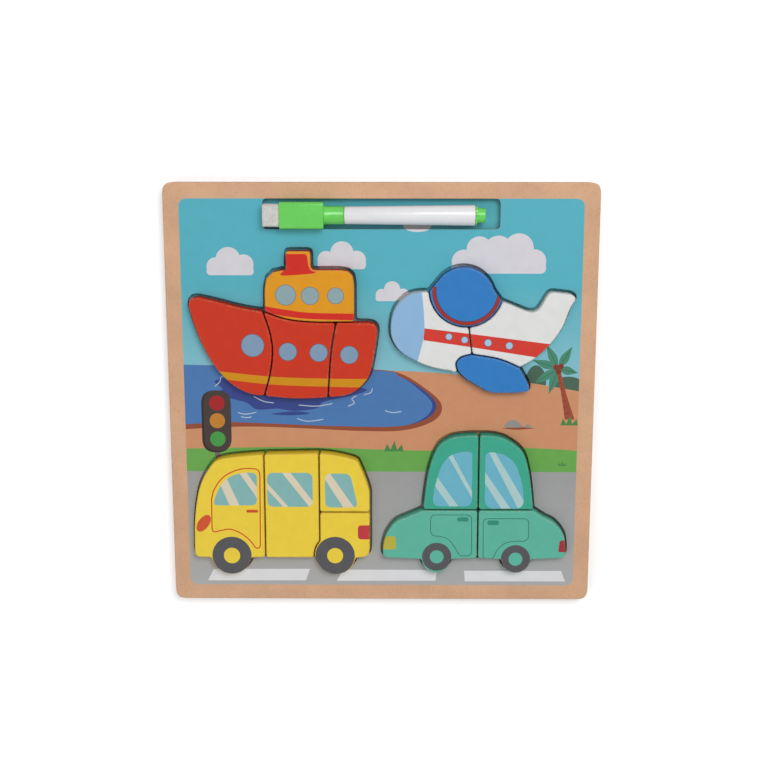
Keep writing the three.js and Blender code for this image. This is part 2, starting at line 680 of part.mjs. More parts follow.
const places = {
  ship: [pictureLeft + SHIP_TO_LEFT_BORDER, slotBottom - SHIP_TO_SLOT - sizes.ship.y],
  plane: [pictureRight - PLANE_TO_RIGHT_BORDER - sizes.plane.x, slotBottom - PLANE_TO_SLOT - sizes.plane.y],
  bus: [pictureLeft + BUS_TO_LEFT_BORDER, pictureBottom + BUS_TO_BOTTOM_BORDER],
  car: [pictureRight - CAR_TO_RIGHT_BORDER - sizes.car.x, pictureBottom + CAR_TO_BOTTOM_BORDER],
};

// Board

function recess(name) {
  const [x, y] = places[name];
  const widened = roundCorners(offset(vehicles[name].silhouette, RECESS_CLEARANCE), RECESS_CORNER_RADIUS);
  return moved(widened, new THREE.Vector2(x, y + PIECE_SETTLING));
}

function addBoard(parent) {
  const left = -boardWidth / 2;
  const bottom = -boardHeight / 2;
  const rim = roundedRectangle(left, bottom, boardWidth, boardHeight, BOARD_CORNER_RADIUS);
  const slot = roundedRectangle(slotLeft, slotBottom, slotLength, slotHeight, SLOT_CORNER_RADIUS);
  const holes = [slot, ...Object.keys(places).map(recess)];
  addPiece(parent, 'whiteboard_sheet', plate(rim, [], SHEET_THICKNESS, 0), 0xf2f3f2, 0.25);
  addPiece(parent, 'base_board', plate(rim, [], BASE_THICKNESS, SHEET_THICKNESS), 0xb98f66, 0.7);
  addPiece(parent, 'frame_board', plate(rim, holes, FRAME_THICKNESS, BASE_TOP), 0x57afbe, 0.6);
}

// Puzzle pieces

const PIECE_COLOURS = {
  ship_bow: 0xc53424,
  ship_midship: 0xc53424,
  ship_stern: 0xc53424,
  ship_cabin: 0xd9982a,
  plane_nose: 0xdedede,
  plane_tail: 0xdedede,
  plane_cockpit: 0x3a7dbe,
  plane_wing: 0x3278be,
  bus_front: 0xdec32d,
  bus_middle: 0xdec32d,
  bus_rear_top: 0xdec32d,
  bus_rear_bottom: 0xdec32d,
  car_roof_front: 0x3ca58c,
  car_roof_rear: 0x3ca58c,
  car_body_front: 0x5cb29b,
  car_body_rear: 0x5cb29b,
};

function addVehicle(parent, name) {
  const vehicle = new THREE.Group();
  vehicle.position.set(places[name][0], places[name][1], BASE_TOP);
  for (const [piece, points] of Object.entries(vehicles[name])) {
    if (piece === 'silhouette') continue;
    const inset = PIECE_GAP / 2 + PIECE_EDGE_ROUND;
    const face = roundCorners(offset(points, -inset), PIECE_CORNER_RADIUS - PIECE_EDGE_ROUND);
    addPiece(vehicle, piece, easedPlate(face, PIECE_HEIGHT, 0, PIECE_EDGE_ROUND), PIECE_COLOURS[piece], 0.45);
  }
  parent.add(vehicle);
}

// Marker: the cap with its eraser lies at the slot's left end, and the barrel's spigot seats in the cap

function addMarker(parent) {
  const marker = new THREE.Group();
  const capStart = ERASER_EXPOSED_LENGTH;
  const blockEnd = capStart + CAP_BLOCK_LENGTH;
  const capEnd = blockEnd + CAP_NECK_LENGTH;
  const barrelEnd = capEnd + BARREL_LENGTH;
  const neckRadius = CAP_NECK_DIAMETER / 2;
  const capBoreRadius = neckRadius - CAP_NECK_WALL;
  const spigotRadius = capBoreRadius - MARKER_CLEARANCE;
  const boreRadius = BARREL_FRONT_DIAMETER / 2 - BARREL_WALL;
  const nibRadius = NIB_DIAMETER / 2;
  const nibBoreRadius = nibRadius + MARKER_CLEARANCE;
  const spigotEnd = capEnd - SPIGOT_LENGTH;
  const boreStart = capEnd + NIB_SHOULDER_LENGTH;
  const nibTip = spigotEnd - NIB_EXPOSED_LENGTH;
  const stubStart = barrelEnd - PLUG_STUB_LENGTH;
  marker.position.set(
    slotLeft + SLOT_END_GAP,
    slotBottom + SLOT_SIDE_GAP + CAP_BLOCK_WIDTH / 2,
    BASE_TOP + CAP_BLOCK_THICKNESS / 2,
  );

  // A bar along the marker with a rounded rectangular section, centred on the axis
  const bar = (start, end, width, thickness, radius) => {
    const section = roundedRectangle(-width / 2, -thickness / 2, width, thickness, radius);
    return plate(section, [], end - start, start).rotateX(Math.PI / 2).rotateZ(Math.PI / 2);
  };
  const pocketWidth = CAP_BLOCK_WIDTH - 2 * CAP_POCKET_WALL;
  const pocketThickness = CAP_BLOCK_THICKNESS - 2 * CAP_POCKET_WALL;
  const pocketEnd = capStart + ERASER_SEAT_DEPTH + MARKER_CLEARANCE;
  const block = toSolid(
    bar(capStart, blockEnd, CAP_BLOCK_WIDTH, CAP_BLOCK_THICKNESS, CAP_BLOCK_CORNER_RADIUS),
  );
  const neck = toSolid(turned([
    [blockEnd - CAP_NECK_WALL, 0],
    [blockEnd - CAP_NECK_WALL, neckRadius],
    [capEnd - MARKER_CLEARANCE, neckRadius],
    [capEnd - MARKER_CLEARANCE, 0],
  ]));
  const capBore = toSolid(turned([
    [nibTip - NIB_TIP_ROOM, 0],
    [nibTip - NIB_TIP_ROOM, capBoreRadius],
    [capEnd + CAP_NECK_WALL, capBoreRadius],
    [capEnd + CAP_NECK_WALL, 0],
  ]));
  const pocket = toSolid(bar(0, pocketEnd, pocketWidth, pocketThickness, ERASER_CORNER_RADIUS));
  const cap = block.add(neck).subtract(capBore).subtract(pocket);
  addPiece(marker, 'marker_cap', toGeometry(cap), 0x64cd55, 0.35);

  const felt = bar(
    0,
    capStart + ERASER_SEAT_DEPTH,
    pocketWidth - 2 * MARKER_CLEARANCE,
    pocketThickness - 2 * MARKER_CLEARANCE,
    ERASER_CORNER_RADIUS,
  );
  addPiece(marker, 'eraser_pad', felt, 0xd8d6d2, 0.95);

  const barrel = turned([
    [spigotEnd, nibBoreRadius],
    [spigotEnd, spigotRadius],
    [capEnd, spigotRadius],
    [capEnd, BARREL_FRONT_DIAMETER / 2],
    [barrelEnd, BARREL_REAR_DIAMETER / 2],
    [barrelEnd, boreRadius],
    [boreStart, boreRadius],
    [boreStart, nibBoreRadius],
    [spigotEnd, nibBoreRadius],
  ]);
  addPiece(marker, 'marker_barrel', barrel, 0xe6e6e8, 0.35);

  const nibRound = new THREE.EllipseCurve(
    nibTip + NIB_TIP_LENGTH,
    0,
    NIB_TIP_LENGTH,
    nibRadius,
    Math.PI,
    Math.PI / 2,
    true,
  );
  const nib = turned([
    [nibTip, 0],
    ...nibRound.getPoints(CORNER_STEPS).slice(1).map((point) => point.toArray()),
    [boreStart - MARKER_CLEARANCE, nibRadius],
    [boreStart - MARKER_CLEARANCE, 0],
  ]);
  addPiece(marker, 'marker_nib', nib, 0x2f6b35, 0.9);

  const reservoir = turned([
    [boreStart + MARKER_CLEARANCE, 0],
    [boreStart + MARKER_CLEARANCE, boreRadius - MARKER_CLEARANCE],
    [stubStart - MARKER_CLEARANCE, boreRadius - MARKER_CLEARANCE],
    [stubStart - MARKER_CLEARANCE, 0],
  ]);
  addPiece(marker, 'ink_reservoir', reservoir, 0xe8e4da, 0.95);

  const collarRadius = BARREL_REAR_DIAMETER / 2 - PLUG_COLLAR_STEP;
  const collarEnd = barrelEnd + PLUG_COLLAR_LENGTH;
  const plugEnd = collarEnd + PLUG_TAIL_LENGTH;
  const plug = turned([
    [stubStart, 0],
    [stubStart, boreRadius - MARKER_CLEARANCE],
    [barrelEnd + MARKER_CLEARANCE, boreRadius - MARKER_CLEARANCE],
    [barrelEnd + MARKER_CLEARANCE, collarRadius],
    [collarEnd, collarRadius],
    [collarEnd, PLUG_TAIL_DIAMETER / 2],
    [plugEnd - PLUG_EDGE_CHAMFER, PLUG_TAIL_DIAMETER / 2],
    [plugEnd, PLUG_TAIL_DIAMETER / 2 - PLUG_EDGE_CHAMFER],
    [plugEnd, 0],
  ]);
  addPiece(marker, 'marker_end_plug', plug, 0x64cd55, 0.35);
  parent.add(marker);
}

const puzzle = new THREE.Group();
addBoard(puzzle);
for (const name of Object.keys(vehicles)) addVehicle(puzzle, name);
addMarker(puzzle);

export default puzzle;
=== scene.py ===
# Looks of a wooden vehicle puzzle: painted chunky pieces in a printed board, and a dry-erase marker.
# Sizes and places are millimetres in the board's own frame, and become metres where a mesh is made.
# Only the floor and the lamps are given in metres and watts.

import math
from dataclasses import dataclass

import bmesh
import bpy
import numpy
from mathutils import Matrix, Vector, noise
from mathutils.geometry import delaunay_2d_cdt, intersect_line_line_2d


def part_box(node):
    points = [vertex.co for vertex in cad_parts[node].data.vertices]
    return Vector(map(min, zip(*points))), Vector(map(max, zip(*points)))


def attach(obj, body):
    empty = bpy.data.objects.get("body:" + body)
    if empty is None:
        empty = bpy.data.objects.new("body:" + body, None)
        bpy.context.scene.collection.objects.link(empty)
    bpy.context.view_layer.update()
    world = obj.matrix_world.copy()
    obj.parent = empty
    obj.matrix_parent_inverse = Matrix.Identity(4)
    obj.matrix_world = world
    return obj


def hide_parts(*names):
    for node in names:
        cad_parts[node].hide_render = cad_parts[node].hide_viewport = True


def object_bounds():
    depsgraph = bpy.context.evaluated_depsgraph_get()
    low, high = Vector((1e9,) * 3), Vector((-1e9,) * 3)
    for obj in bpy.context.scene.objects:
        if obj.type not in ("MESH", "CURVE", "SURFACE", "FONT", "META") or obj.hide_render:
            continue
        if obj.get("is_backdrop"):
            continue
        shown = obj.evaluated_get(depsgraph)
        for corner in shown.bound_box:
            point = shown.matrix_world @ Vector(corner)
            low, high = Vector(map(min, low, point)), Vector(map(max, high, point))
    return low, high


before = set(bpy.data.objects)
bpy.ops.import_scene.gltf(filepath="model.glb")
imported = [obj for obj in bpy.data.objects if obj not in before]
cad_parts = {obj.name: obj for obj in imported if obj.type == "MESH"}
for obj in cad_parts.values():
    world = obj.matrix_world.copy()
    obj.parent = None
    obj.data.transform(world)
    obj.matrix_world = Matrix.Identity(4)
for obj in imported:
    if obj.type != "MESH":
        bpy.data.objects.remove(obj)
cad_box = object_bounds()

MM = 0.001

# Camera: held level above the board's upper edge and tilted towards its foot
CAMERA_PLACE = (7.694, 130.595, 633.482)
CAMERA_TURN = (-0.197, 0.007, 0.002)
CAMERA_FOCUS_PIXELS = 1210
CAMERA_NEAR = 10
PHOTO_PIXELS = 775
SENSOR_WIDTH = 36

# Edges and curves of the plates
PIECE_EDGE_ROUND = 0.9
RIM_EDGE_ROUND = 0.9
RECESS_EDGE_ROUND = 0.2
SHEET_EDGE_ROUND = 0.15
EDGE_STEPS = 4
OUTLINE_TOLERANCE = 0.03
WELD_DISTANCE = 0.005
GENTLE_TURN = math.radians(1.5)
TURN_STEP = math.radians(7)
LEAST_MITRE = 0.45
SAME_SPOT = 0.0001
IDLE_BEND = 0.003
KNOT_EDGES = 8
KEY_DIGITS = 4

# Steps of curves, how much of an edge the rounding of a corner may take, and where a leaf is widest
DISC_STEPS = 44
SMALL_DISC_STEPS = 20
ARC_STEPS = 36
CURVE_STEPS = 7
CORNER_SHARE = 0.48
WALL_CORNER_SHARE = 0.49
LEAF_BELLY = 0.45

# Colours, as red, green and blue from 0 to 255
COLOURS = {
    "hull_red": (199, 50, 20),
    "hull_gold": (204, 138, 6),
    "porthole": (126, 152, 178),
    "porthole_edge": (92, 84, 96),
    "cabin_orange": (222, 150, 22),
    "cabin_side": (200, 92, 30),
    "cabin_red": (206, 38, 26),
    "cabin_glass": (140, 165, 170),
    "glass_edge": (104, 112, 112),
    "plane_white": (224, 224, 222),
    "plane_nose": (140, 180, 216),
    "plane_red": (208, 56, 42),
    "plane_window": (164, 196, 226),
    "window_edge": (110, 96, 108),
    "plane_blue": (44, 121, 191),
    "cockpit_red": (158, 42, 38),
    "cockpit_line": (62, 34, 48),
    "bus_yellow": (236, 206, 62),
    "bus_glass": (130, 180, 178),
    "bus_streak": (220, 208, 182),
    "bus_line": (202, 74, 32),
    "bus_light": (206, 82, 44),
    "bus_tail_light": (190, 54, 62),
    "tyre": (82, 82, 85),
    "car_roof": (58, 164, 138),
    "car_body": (92, 179, 156),
    "car_glass": (106, 177, 198),
    "car_streak": (172, 203, 202),
    "car_line": (44, 108, 92),
    "car_handle": (48, 136, 116),
    "car_headlight": (186, 174, 60),
    "car_tail_light": (156, 50, 58),
    "sky": (84, 174, 190),
    "cloud": (212, 210, 216),
    "water": (72, 118, 174),
    "deep_water": (48, 66, 132),
    "wave": (188, 198, 214),
    "shore": (142, 72, 46),
    "sand": (202, 142, 104),
    "grass": (102, 164, 76),
    "tuft": (68, 128, 66),
    "road": (156, 156, 156),
    "dash": (222, 222, 224),
    "hill": (68, 96, 78),
    "palm_leaf": (70, 132, 108),
    "palm_vein": (50, 106, 86),
    "trunk": (150, 72, 50),
    "trunk_ring": (112, 48, 34),
    "nut": (126, 50, 34),
    "rock": (146, 140, 136),
    "lamp_post": (112, 100, 94),
    "lamp_body": (62, 50, 47),
    "lamp_side": (34, 28, 28),
    "lamp_red": (160, 30, 32),
    "lamp_amber": (188, 124, 44),
    "lamp_green": (66, 148, 66),
    "border": (212, 168, 134),
    "board_edge": (176, 126, 86),
    "marker_green": (100, 206, 84),
    "marker_white": (232, 232, 234),
    "felt": (214, 212, 207),
    "whiteboard": (240, 241, 241),
    "ink_fibre": (47, 107, 53),
    "fibre": (226, 220, 206),
    "bare_fibre": (214, 178, 140),
}


# Materials

WHITE = (1, 1, 1, 1)
NOISE_LOW, NOISE_HIGH = 0.3, 0.7
PAINT_SPECULAR = 0.25
WORN_PAINT_BARE = 0.45


def linear(colour):
    """Scene-linear red, green, blue and alpha of a colour given from 0 to 255."""
    shares = [value / 255 for value in colour]
    return (*[s / 12.92 if s <= 0.04045 else ((s + 0.055) / 1.055) ** 2.4 for s in shares], 1)


def add_node(tree, kind, values=None, **settings):
    made = tree.nodes.new(kind)
    for key, value in settings.items():
        setattr(made, key, value)
    for key, value in (values or {}).items():
        made.inputs[key].default_value = value
    return made


def ranged(tree, value, start, end, low, high):
    made = add_node(tree, "ShaderNodeMapRange", {
        "From Min": start, "From Max": end, "To Min": low, "To Max": high,
    })
    tree.links.new(value, made.inputs["Value"])
    return made.outputs["Result"]


def product(tree, first, second):
    made = add_node(tree, "ShaderNodeMath", operation="MULTIPLY")
    tree.links.new(first, made.inputs[0])
    tree.links.new(second, made.inputs[1])
    return made.outputs[0]


def mixed(tree, share, first, second):
    """A colour between two others, each a socket or plain numbers."""
    made = add_node(tree, "ShaderNodeMix", data_type="RGBA")
    tree.links.new(share, made.inputs[0])
    for socket, colour in ((made.inputs[6], first), (made.inputs[7], second)):
        if isinstance(colour, tuple):
            socket.default_value = colour
        else:
            tree.links.new(colour, socket)
    return made.outputs[2]


def new_material(name):
    material = bpy.data.materials.new(name)
    material.use_nodes = True
    tree = material.node_tree
    return material, tree, tree.nodes["Principled BSDF"]


class Finish:
    """A material in the making, with the plain colour of its name and the tone of its surface so far."""

    def __init__(self, name):
        self.material, self.tree, self.shader = new_material(name)
        self.colour = linear(COLOURS[name])
        self.tone = self.colour

    def shade(self, factor):
        return (*[min(1, value * factor) for value in self.colour[:3]], 1)

    def grain(self, scale, detail, stretch=None):
        """Noise over the object's own coordinates, with features of about 1 / scale metres."""
        place = add_node(self.tree, "ShaderNodeTexCoord").outputs["Object"]
        if stretch:
            mapping = add_node(self.tree, "ShaderNodeMapping", {"Scale": stretch})
            self.tree.links.new(place, mapping.inputs["Vector"])
            place = mapping.outputs["Vector"]
        made = add_node(self.tree, "ShaderNodeTexNoise", {"Scale": scale, "Detail": detail})
        self.tree.links.new(place, made.inputs["Vector"])
        return made.outputs["Fac"]

    def vary(self, value, darkest, palest):
        """Lets the tone wander with a noise between two shades of the colour."""
        share = ranged(self.tree, value, NOISE_LOW, NOISE_HIGH, 0, 1)
        self.tone = mixed(self.tree, share, self.shade(darkest), self.shade(palest))

    def touch(self, value, start, end, share, other):
        """Mixes in another colour, by up to a share, where a value runs from start to end."""
        self.tone = mixed(self.tree, ranged(self.tree, value, start, end, 0, share), self.tone, other)

    def wear(self, scale, start, end, low, high, other):
        """Mixes in another colour in patches along the edges that the mesh marks."""
        rim = add_node(self.tree, "ShaderNodeAttribute", attribute_name="rim").outputs["Fac"]
        patches = ranged(self.tree, self.grain(scale, detail=4), start, end, low, high)
        self.tone = mixed(self.tree, product(self.tree, rim, patches), self.tone, other)

    def roughen(self, value, smoothest, roughest, start=NOISE_LOW):
        rough = ranged(self.tree, value, start, NOISE_HIGH, smoothest, roughest)
        self.tree.links.new(rough, self.shader.inputs["Roughness"])

    def bump(self, value, strength, depth):
        made = add_node(self.tree, "ShaderNodeBump", {"Strength": strength, "Distance": depth * MM})
        self.tree.links.new(value, made.inputs["Height"])
        self.tree.links.new(made.outputs["Normal"], self.shader.inputs["Normal"])

    def done(self):
        self.tree.links.new(self.tone, self.shader.inputs["Base Color"])
        return self.material


def satin(name, mottle=0.03, smoothest=0.4, roughest=0.56, fade=None):
    """Satin paint or print on fibreboard: blotchy tone, fine grain, and fibre showing at worn edges."""
    made = Finish(name)
    blotches = made.grain(scale=190, detail=3)
    fine = made.grain(scale=2600, detail=2)
    made.vary(blotches, darkest=1 - mottle, palest=1 + mottle)
    made.touch(fine, start=0.35, end=0.75, share=0.16, other=made.shade(1.18))
    # Where asked, white is mixed in towards the bottom. On the sky this is a printed gradient. On the road
    # it is painted glare: the shine of the shrink film painted into its colour.
    if fade:
        start, end, share = fade
        height = add_node(made.tree, "ShaderNodeSeparateXYZ")
        place = add_node(made.tree, "ShaderNodeTexCoord")
        made.tree.links.new(place.outputs["Object"], height.inputs[0])
        made.touch(height.outputs["Y"], start * MM, end * MM, share, WHITE)
    bare = linear(COLOURS["bare_fibre"])
    worn = tuple(Vector(made.colour).lerp(Vector(bare), WORN_PAINT_BARE))
    made.wear(scale=700, start=0.5, end=0.66, low=0.1, high=0.65, other=worn)
    made.roughen(blotches, smoothest, roughest)
    made.bump(fine, strength=0.12, depth=0.06)
    made.shader.inputs["Specular IOR Level"].default_value = PAINT_SPECULAR
    return made.done()


def fibreboard(name, layered=False):
    """Bare fibreboard: short pale and dark fibres, and streaks along the cut where it is an edge."""
    made = Finish(name)
    fibres = made.grain(scale=1500, detail=6, stretch=(1, 0.45, 1))
    pale_fibres = made.grain(scale=2300, detail=3)
    made.vary(made.grain(scale=60, detail=4), darkest=0.93, palest=1.07)
    made.touch(fibres, start=0.52, end=0.72, share=0.4, other=made.shade(0.72))
    made.touch(pale_fibres, start=0.6, end=0.75, share=0.4, other=made.shade(1.3))
    if layered:
        streaks = made.grain(scale=240, detail=3, stretch=(0.35, 0.35, 9))
        made.touch(streaks, start=0.42, end=0.7, share=0.55, other=made.shade(0.5))
    made.wear(scale=300, start=0.4, end=0.65, low=0, high=0.6, other=made.shade(1.25))
    made.roughen(fibres, smoothest=0.5, roughest=0.68)
    made.bump(fibres, strength=0.2, depth=0.08)
    made.shader.inputs["Specular IOR Level"].default_value = PAINT_SPECULAR
    return made.done()


def moulded(name):
    """Half-gloss moulded plastic with faint flow marks, fine handling marks and paler edges."""
    made = Finish(name)
    flow = made.grain(scale=130, detail=3, stretch=(0.3, 1, 1))
    scuffs = made.grain(scale=900, detail=4, stretch=(0.2, 1, 1))
    made.vary(flow, darkest=0.97, palest=1.03)
    made.touch(scuffs, start=0.62, end=0.75, share=0.07, other=made.shade(1.3))
    made.wear(scale=500, start=0.4, end=0.62, low=0.1, high=0.6, other=made.shade(1.4))
    made.roughen(scuffs, smoothest=0.17, roughest=0.27, start=0.35)
    made.bump(scuffs, strength=0.025, depth=0.04)
    return made.done()


def soft_fibre(name, sheen):
    """Pressed felt or bonded fibre: tangled short hairs, dull, with a little sheen."""
    made = Finish(name)
    hairs = made.grain(scale=1400, detail=8)
    clumps = made.grain(scale=420, detail=4)
    made.vary(hairs, darkest=0.8, palest=1.12)
    made.touch(clumps, start=0.45, end=0.75, share=0.35, other=made.shade(0.82))
    made.wear(scale=350, start=0.35, end=0.6, low=0.1, high=0.7, other=made.shade(0.72))
    made.roughen(clumps, smoothest=0.85, roughest=0.98)
    made.bump(hairs, strength=0.6, depth=0.25)
    made.shader.inputs["Sheen Weight"].default_value = sheen
    return made.done()


def dry_erase(name):
    """White dry-erase film: smooth and glossy, with faint wiped smears."""
    made = Finish(name)
    smears = made.grain(scale=26, detail=5, stretch=(1, 0.25, 1))
    made.touch(smears, start=0.45, end=0.75, share=0.5, other=made.shade(0.93))
    made.wear(scale=300, start=0.4, end=0.6, low=0.1, high=0.7, other=linear(COLOURS["bare_fibre"]))
    made.roughen(smears, smoothest=0.12, roughest=0.26)
    made.bump(made.grain(scale=300, detail=2), strength=0.03, depth=0.05)
    return made.done()


MADE = {}
SPECIAL = {
    "border": (fibreboard, {}),
    "board_edge": (fibreboard, {"layered": True}),
    "marker_green": (moulded, {}),
    "marker_white": (moulded, {}),
    "felt": (soft_fibre, {"sheen": 0.4}),
    "fibre": (soft_fibre, {"sheen": 0.1}),
    "ink_fibre": (soft_fibre, {"sheen": 0.1}),
    "whiteboard": (dry_erase, {}),
    "sky": (satin, {"mottle": 0.02, "fade": (60, 16, 0.14)}),
    # Painted glare: the road turns paler towards the picture's foot, light off the shrink film painted into
    # its colour.
    "road": (satin, {"mottle": 0.02, "fade": (-40, -104, 0.12)}),
    "tyre": (satin, {"mottle": 0.08, "smoothest": 0.5, "roughest": 0.65}),
}


def finish_named(name):
    if name not in MADE:
        make, settings = SPECIAL.get(name, (satin, {}))
        MADE[name] = make(name, **settings)
    return MADE[name]


# Flat shapes, as loops of points

def arc(x, y, radius, start, end, steps=ARC_STEPS):
    turns = [math.radians(start + (end - start) * step / steps) for step in range(steps + 1)]
    return [(x + radius * math.cos(turn), y + radius * math.sin(turn)) for turn in turns]


def disc(x, y, radius, steps=DISC_STEPS):
    return arc(x, y, radius, 0, 360, steps)[:-1]


def oval(x, y, long_half, short_half, lean):
    turn = Matrix.Rotation(math.radians(lean), 2)
    spots = [turn @ Vector((u * long_half, v * short_half)) for u, v in disc(0, 0, 1)]
    return [(x + spot.x, y + spot.y) for spot in spots]


def arch_band(x, y, inner, outer, start, end):
    return arc(x, y, outer, start, end) + arc(x, y, inner, end, start)


def ways_at(loop, index):
    """A point of a loop, and the ways from it to the points before and after it."""
    here = Vector(loop[index])
    return here, Vector(loop[index - 1]) - here, Vector(loop[(index + 1) % len(loop)]) - here


def corner_curve(here, before, after, reach, steps):
    """A curve that rounds a corner and takes up a reach of the ways before and after it."""
    start = here + before.normalized() * reach
    end = here + after.normalized() * reach
    found = []
    for step in range(steps + 1):
        share = step / steps
        spot = (1 - share) ** 2 * start + 2 * share * (1 - share) * here + share ** 2 * end
        found.append((spot.x, spot.y))
    return found


def rounded(points, radius, closed=True):
    """Straight edges with corners rounded as far as the edges allow, as a loop or an open path."""
    loop = []
    for index, point in enumerate(points):
        if not closed and index in (0, len(points) - 1):
            loop.append(point)
            continue
        here, before, after = ways_at(points, index)
        reach = min(radius, CORNER_SHARE * before.length, CORNER_SHARE * after.length)
        loop += corner_curve(here, before, after, reach, CURVE_STEPS)
    return loop


def box(left, bottom, right, top, radius):
    return rounded([(left, bottom), (right, bottom), (right, top), (left, top)], radius)


def curve(points, closed=False):
    """A smooth curve through points."""
    count = len(points)
    path = [Vector(point) for point in points]
    found = []
    for index in range(count if closed else count - 1):
        near = [path[(index + step) % count] if closed else path[min(max(index + step, 0), count - 1)]
                for step in (-1, 0, 1, 2)]
        for step in range(CURVE_STEPS):
            share = step / CURVE_STEPS
            spot = 0.5 * (2 * near[1] + share * (near[2] - near[0])
                          + share ** 2 * (2 * near[0] - 5 * near[1] + 4 * near[2] - near[3])
                          + share ** 3 * (3 * near[1] - near[0] - 3 * near[2] + near[3]))
            found.append((spot.x, spot.y))
    if not closed:
        found.append(tuple(points[-1]))
    return found


def band(upper, lower):
    return curve(upper) + curve(lower)[::-1]


def sideways(points, closed):
    """The unit direction to the right of a path at each of its points, lengthened at bends."""
    found = []
    count = len(points)
    for index in range(count):
        here = Vector(points[index])
        before = Vector(points[index - 1] if closed or index else points[0])
        after = Vector(points[(index + 1) % count] if closed or index < count - 1 else points[-1])
        first = (here - before).normalized() if (here - before).length else (after - here).normalized()
        second = (after - here).normalized() if (after - here).length else first
        across = Vector((first.y, -first.x))
        middle = across + Vector((second.y, -second.x))
        middle.normalize()
        found.append(middle / max(middle.dot(across), LEAST_MITRE))
    return found


def shifted(points, distance, closed):
    return [(x + distance * aside.x, y + distance * aside.y)
            for (x, y), aside in zip(points, sideways(points, closed))]


def stroke(points, width):
    return [shifted(points, width / 2, False) + shifted(points, -width / 2, False)[::-1]]


def closed_stroke(loop, width):
    return [shifted(loop, width / 2, True), shifted(loop, -width / 2, True)]


def leaf(start, end, width):
    """A leaf between two points, widest before its middle."""
    foot, tip = Vector(start), Vector(end)
    across = (tip - foot).orthogonal().normalized() * width / 2
    bulge = foot.lerp(tip, LEAF_BELLY)
    return band([foot, bulge + across, tip], [foot, bulge - across, tip])


@dataclass
class Print:
    """A coloured shape: what lies in an odd number of its loops, and inside a window if it has one."""
    colour: str
    loops: list
    window: list | None = None

    def limits(self):
        xs, ys = zip(*[point for loop in self.loops for point in loop])
        return min(xs), min(ys), max(xs), max(ys)


def fill(colour, *loops, window=None):
    return Print(colour, list(loops), window)


def is_inside(x, y, loop):
    odd = False
    before_x, before_y = loop[-1]
    for here_x, here_y in loop:
        if (here_y > y) != (before_y > y):
            if x < (before_x - here_x) * (y - here_y) / (before_y - here_y) + here_x:
                odd = not odd
        before_x, before_y = here_x, here_y
    return odd


def covers(shape, limits, x, y):
    left, bottom, right, top = limits
    if not (left <= x <= right and bottom <= y <= top):
        return False
    if shape.window and not is_inside(x, y, shape.window):
        return False
    return sum(is_inside(x, y, loop) for loop in shape.loops) % 2 == 1


def partition(loops, prints, folds):
    """Cuts a face, given by its outer loop and holes, along the edges of its prints and along folds.

    Returns the points, the triangles with their colour or None, and the points along each edge of the loops.
    """
    points, edges = [], []
    for loop in [*loops, *folds, *(loop for shape in prints for loop in shape.loops)]:
        start = len(points)
        points.extend(Vector(point) for point in loop)
        edges.extend((start + step, start + (step + 1) % len(loop)) for step in range(len(loop)))
    spots, links, triangles, sources, edge_sources, _ = delaunay_2d_cdt(points, edges, [], 0, SAME_SPOT)
    place = {origin: spot for spot, origins in enumerate(sources) for origin in origins}
    border_count = sum(len(loop) for loop in loops)
    on_border = [[] for _ in range(border_count)]
    for link, origins in zip(links, edge_sources):
        for origin in origins:
            if origin < border_count:
                on_border[origin].extend(link)
    chains = []
    for edge, found in zip(edges, on_border):
        start = points[edge[0]]
        along = {place[edge[0]], place[edge[1]], *found}
        chains.append(sorted(along, key=lambda spot: (spots[spot] - start).length))
    limits = [shape.limits() for shape in prints]
    faces = []
    for a, b, c in triangles:
        x, y = (spots[a] + spots[b] + spots[c]) / 3
        if not is_inside(x, y, loops[0]) or any(is_inside(x, y, hole) for hole in loops[1:]):
            continue
        colour = None
        for shape, limit in zip(prints, limits):
            if covers(shape, limit, x, y):
                colour = shape.colour
        turn = (spots[b] - spots[a]).cross(spots[c] - spots[a])
        faces.append(((a, b, c) if turn > 0 else (a, c, b), colour))
    return spots, faces, chains


# Outlines of the CAD nodes

def area(loop):
    ends = zip(loop, loop[1:] + loop[:1])
    return sum(x0 * y1 - x1 * y0 for (x0, y0), (x1, y1) in ends) / 2


def outlines(node, level):
    """The loops in which a node's walls reach a height, largest first, each anticlockwise."""
    mesh = bmesh.new()
    mesh.from_mesh(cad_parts[node].data)
    bmesh.ops.remove_doubles(mesh, verts=mesh.verts, dist=WELD_DISTANCE * MM)
    beside = {}
    for face in mesh.faces:
        there = [vert for vert in face.verts if abs(vert.co.z / MM - level) < OUTLINE_TOLERANCE]
        if len(there) == 2 and len(face.verts) == 3:
            for vert, other in (there, there[::-1]):
                beside.setdefault(vert, []).append(other)
    loops = []
    while beside:
        here = next(iter(beside))
        loop = []
        while here is not None:
            loop.append((here.co.x / MM, here.co.y / MM))
            onward = [vert for vert in beside.pop(here) if vert in beside]
            here = onward[0] if onward else None
        loops.append(without_knots(loop if area(loop) > 0 else loop[::-1]))
    mesh.free()
    return sorted(loops, key=area, reverse=True)


def without_knots(loop):
    """A loop without the small knots in which it crosses itself at tight corners."""
    for start in range(len(loop)):
        turned = loop[start:] + loop[:start]
        for end in range(2, KNOT_EDGES):
            crossing = intersect_line_line_2d(*turned[:2], *turned[end:end + 2])
            if crossing:
                return without_knots([turned[0], tuple(crossing), *turned[end + 1:]])
    return loop


def smoothed(loop):
    """Rounds every corner of a loop by a curve that reaches half way along its shorter edge."""
    found = []
    for index, point in enumerate(loop):
        here, before, after = ways_at(loop, index)
        turn = math.pi - before.angle(after)
        if turn < GENTLE_TURN:
            found.append(point)
            continue
        reach = WALL_CORNER_SHARE * min(before.length, after.length)
        steps = max(2, math.ceil(turn / TURN_STEP))
        found += corner_curve(here, before, after, reach, steps)
    return without_idle(found)


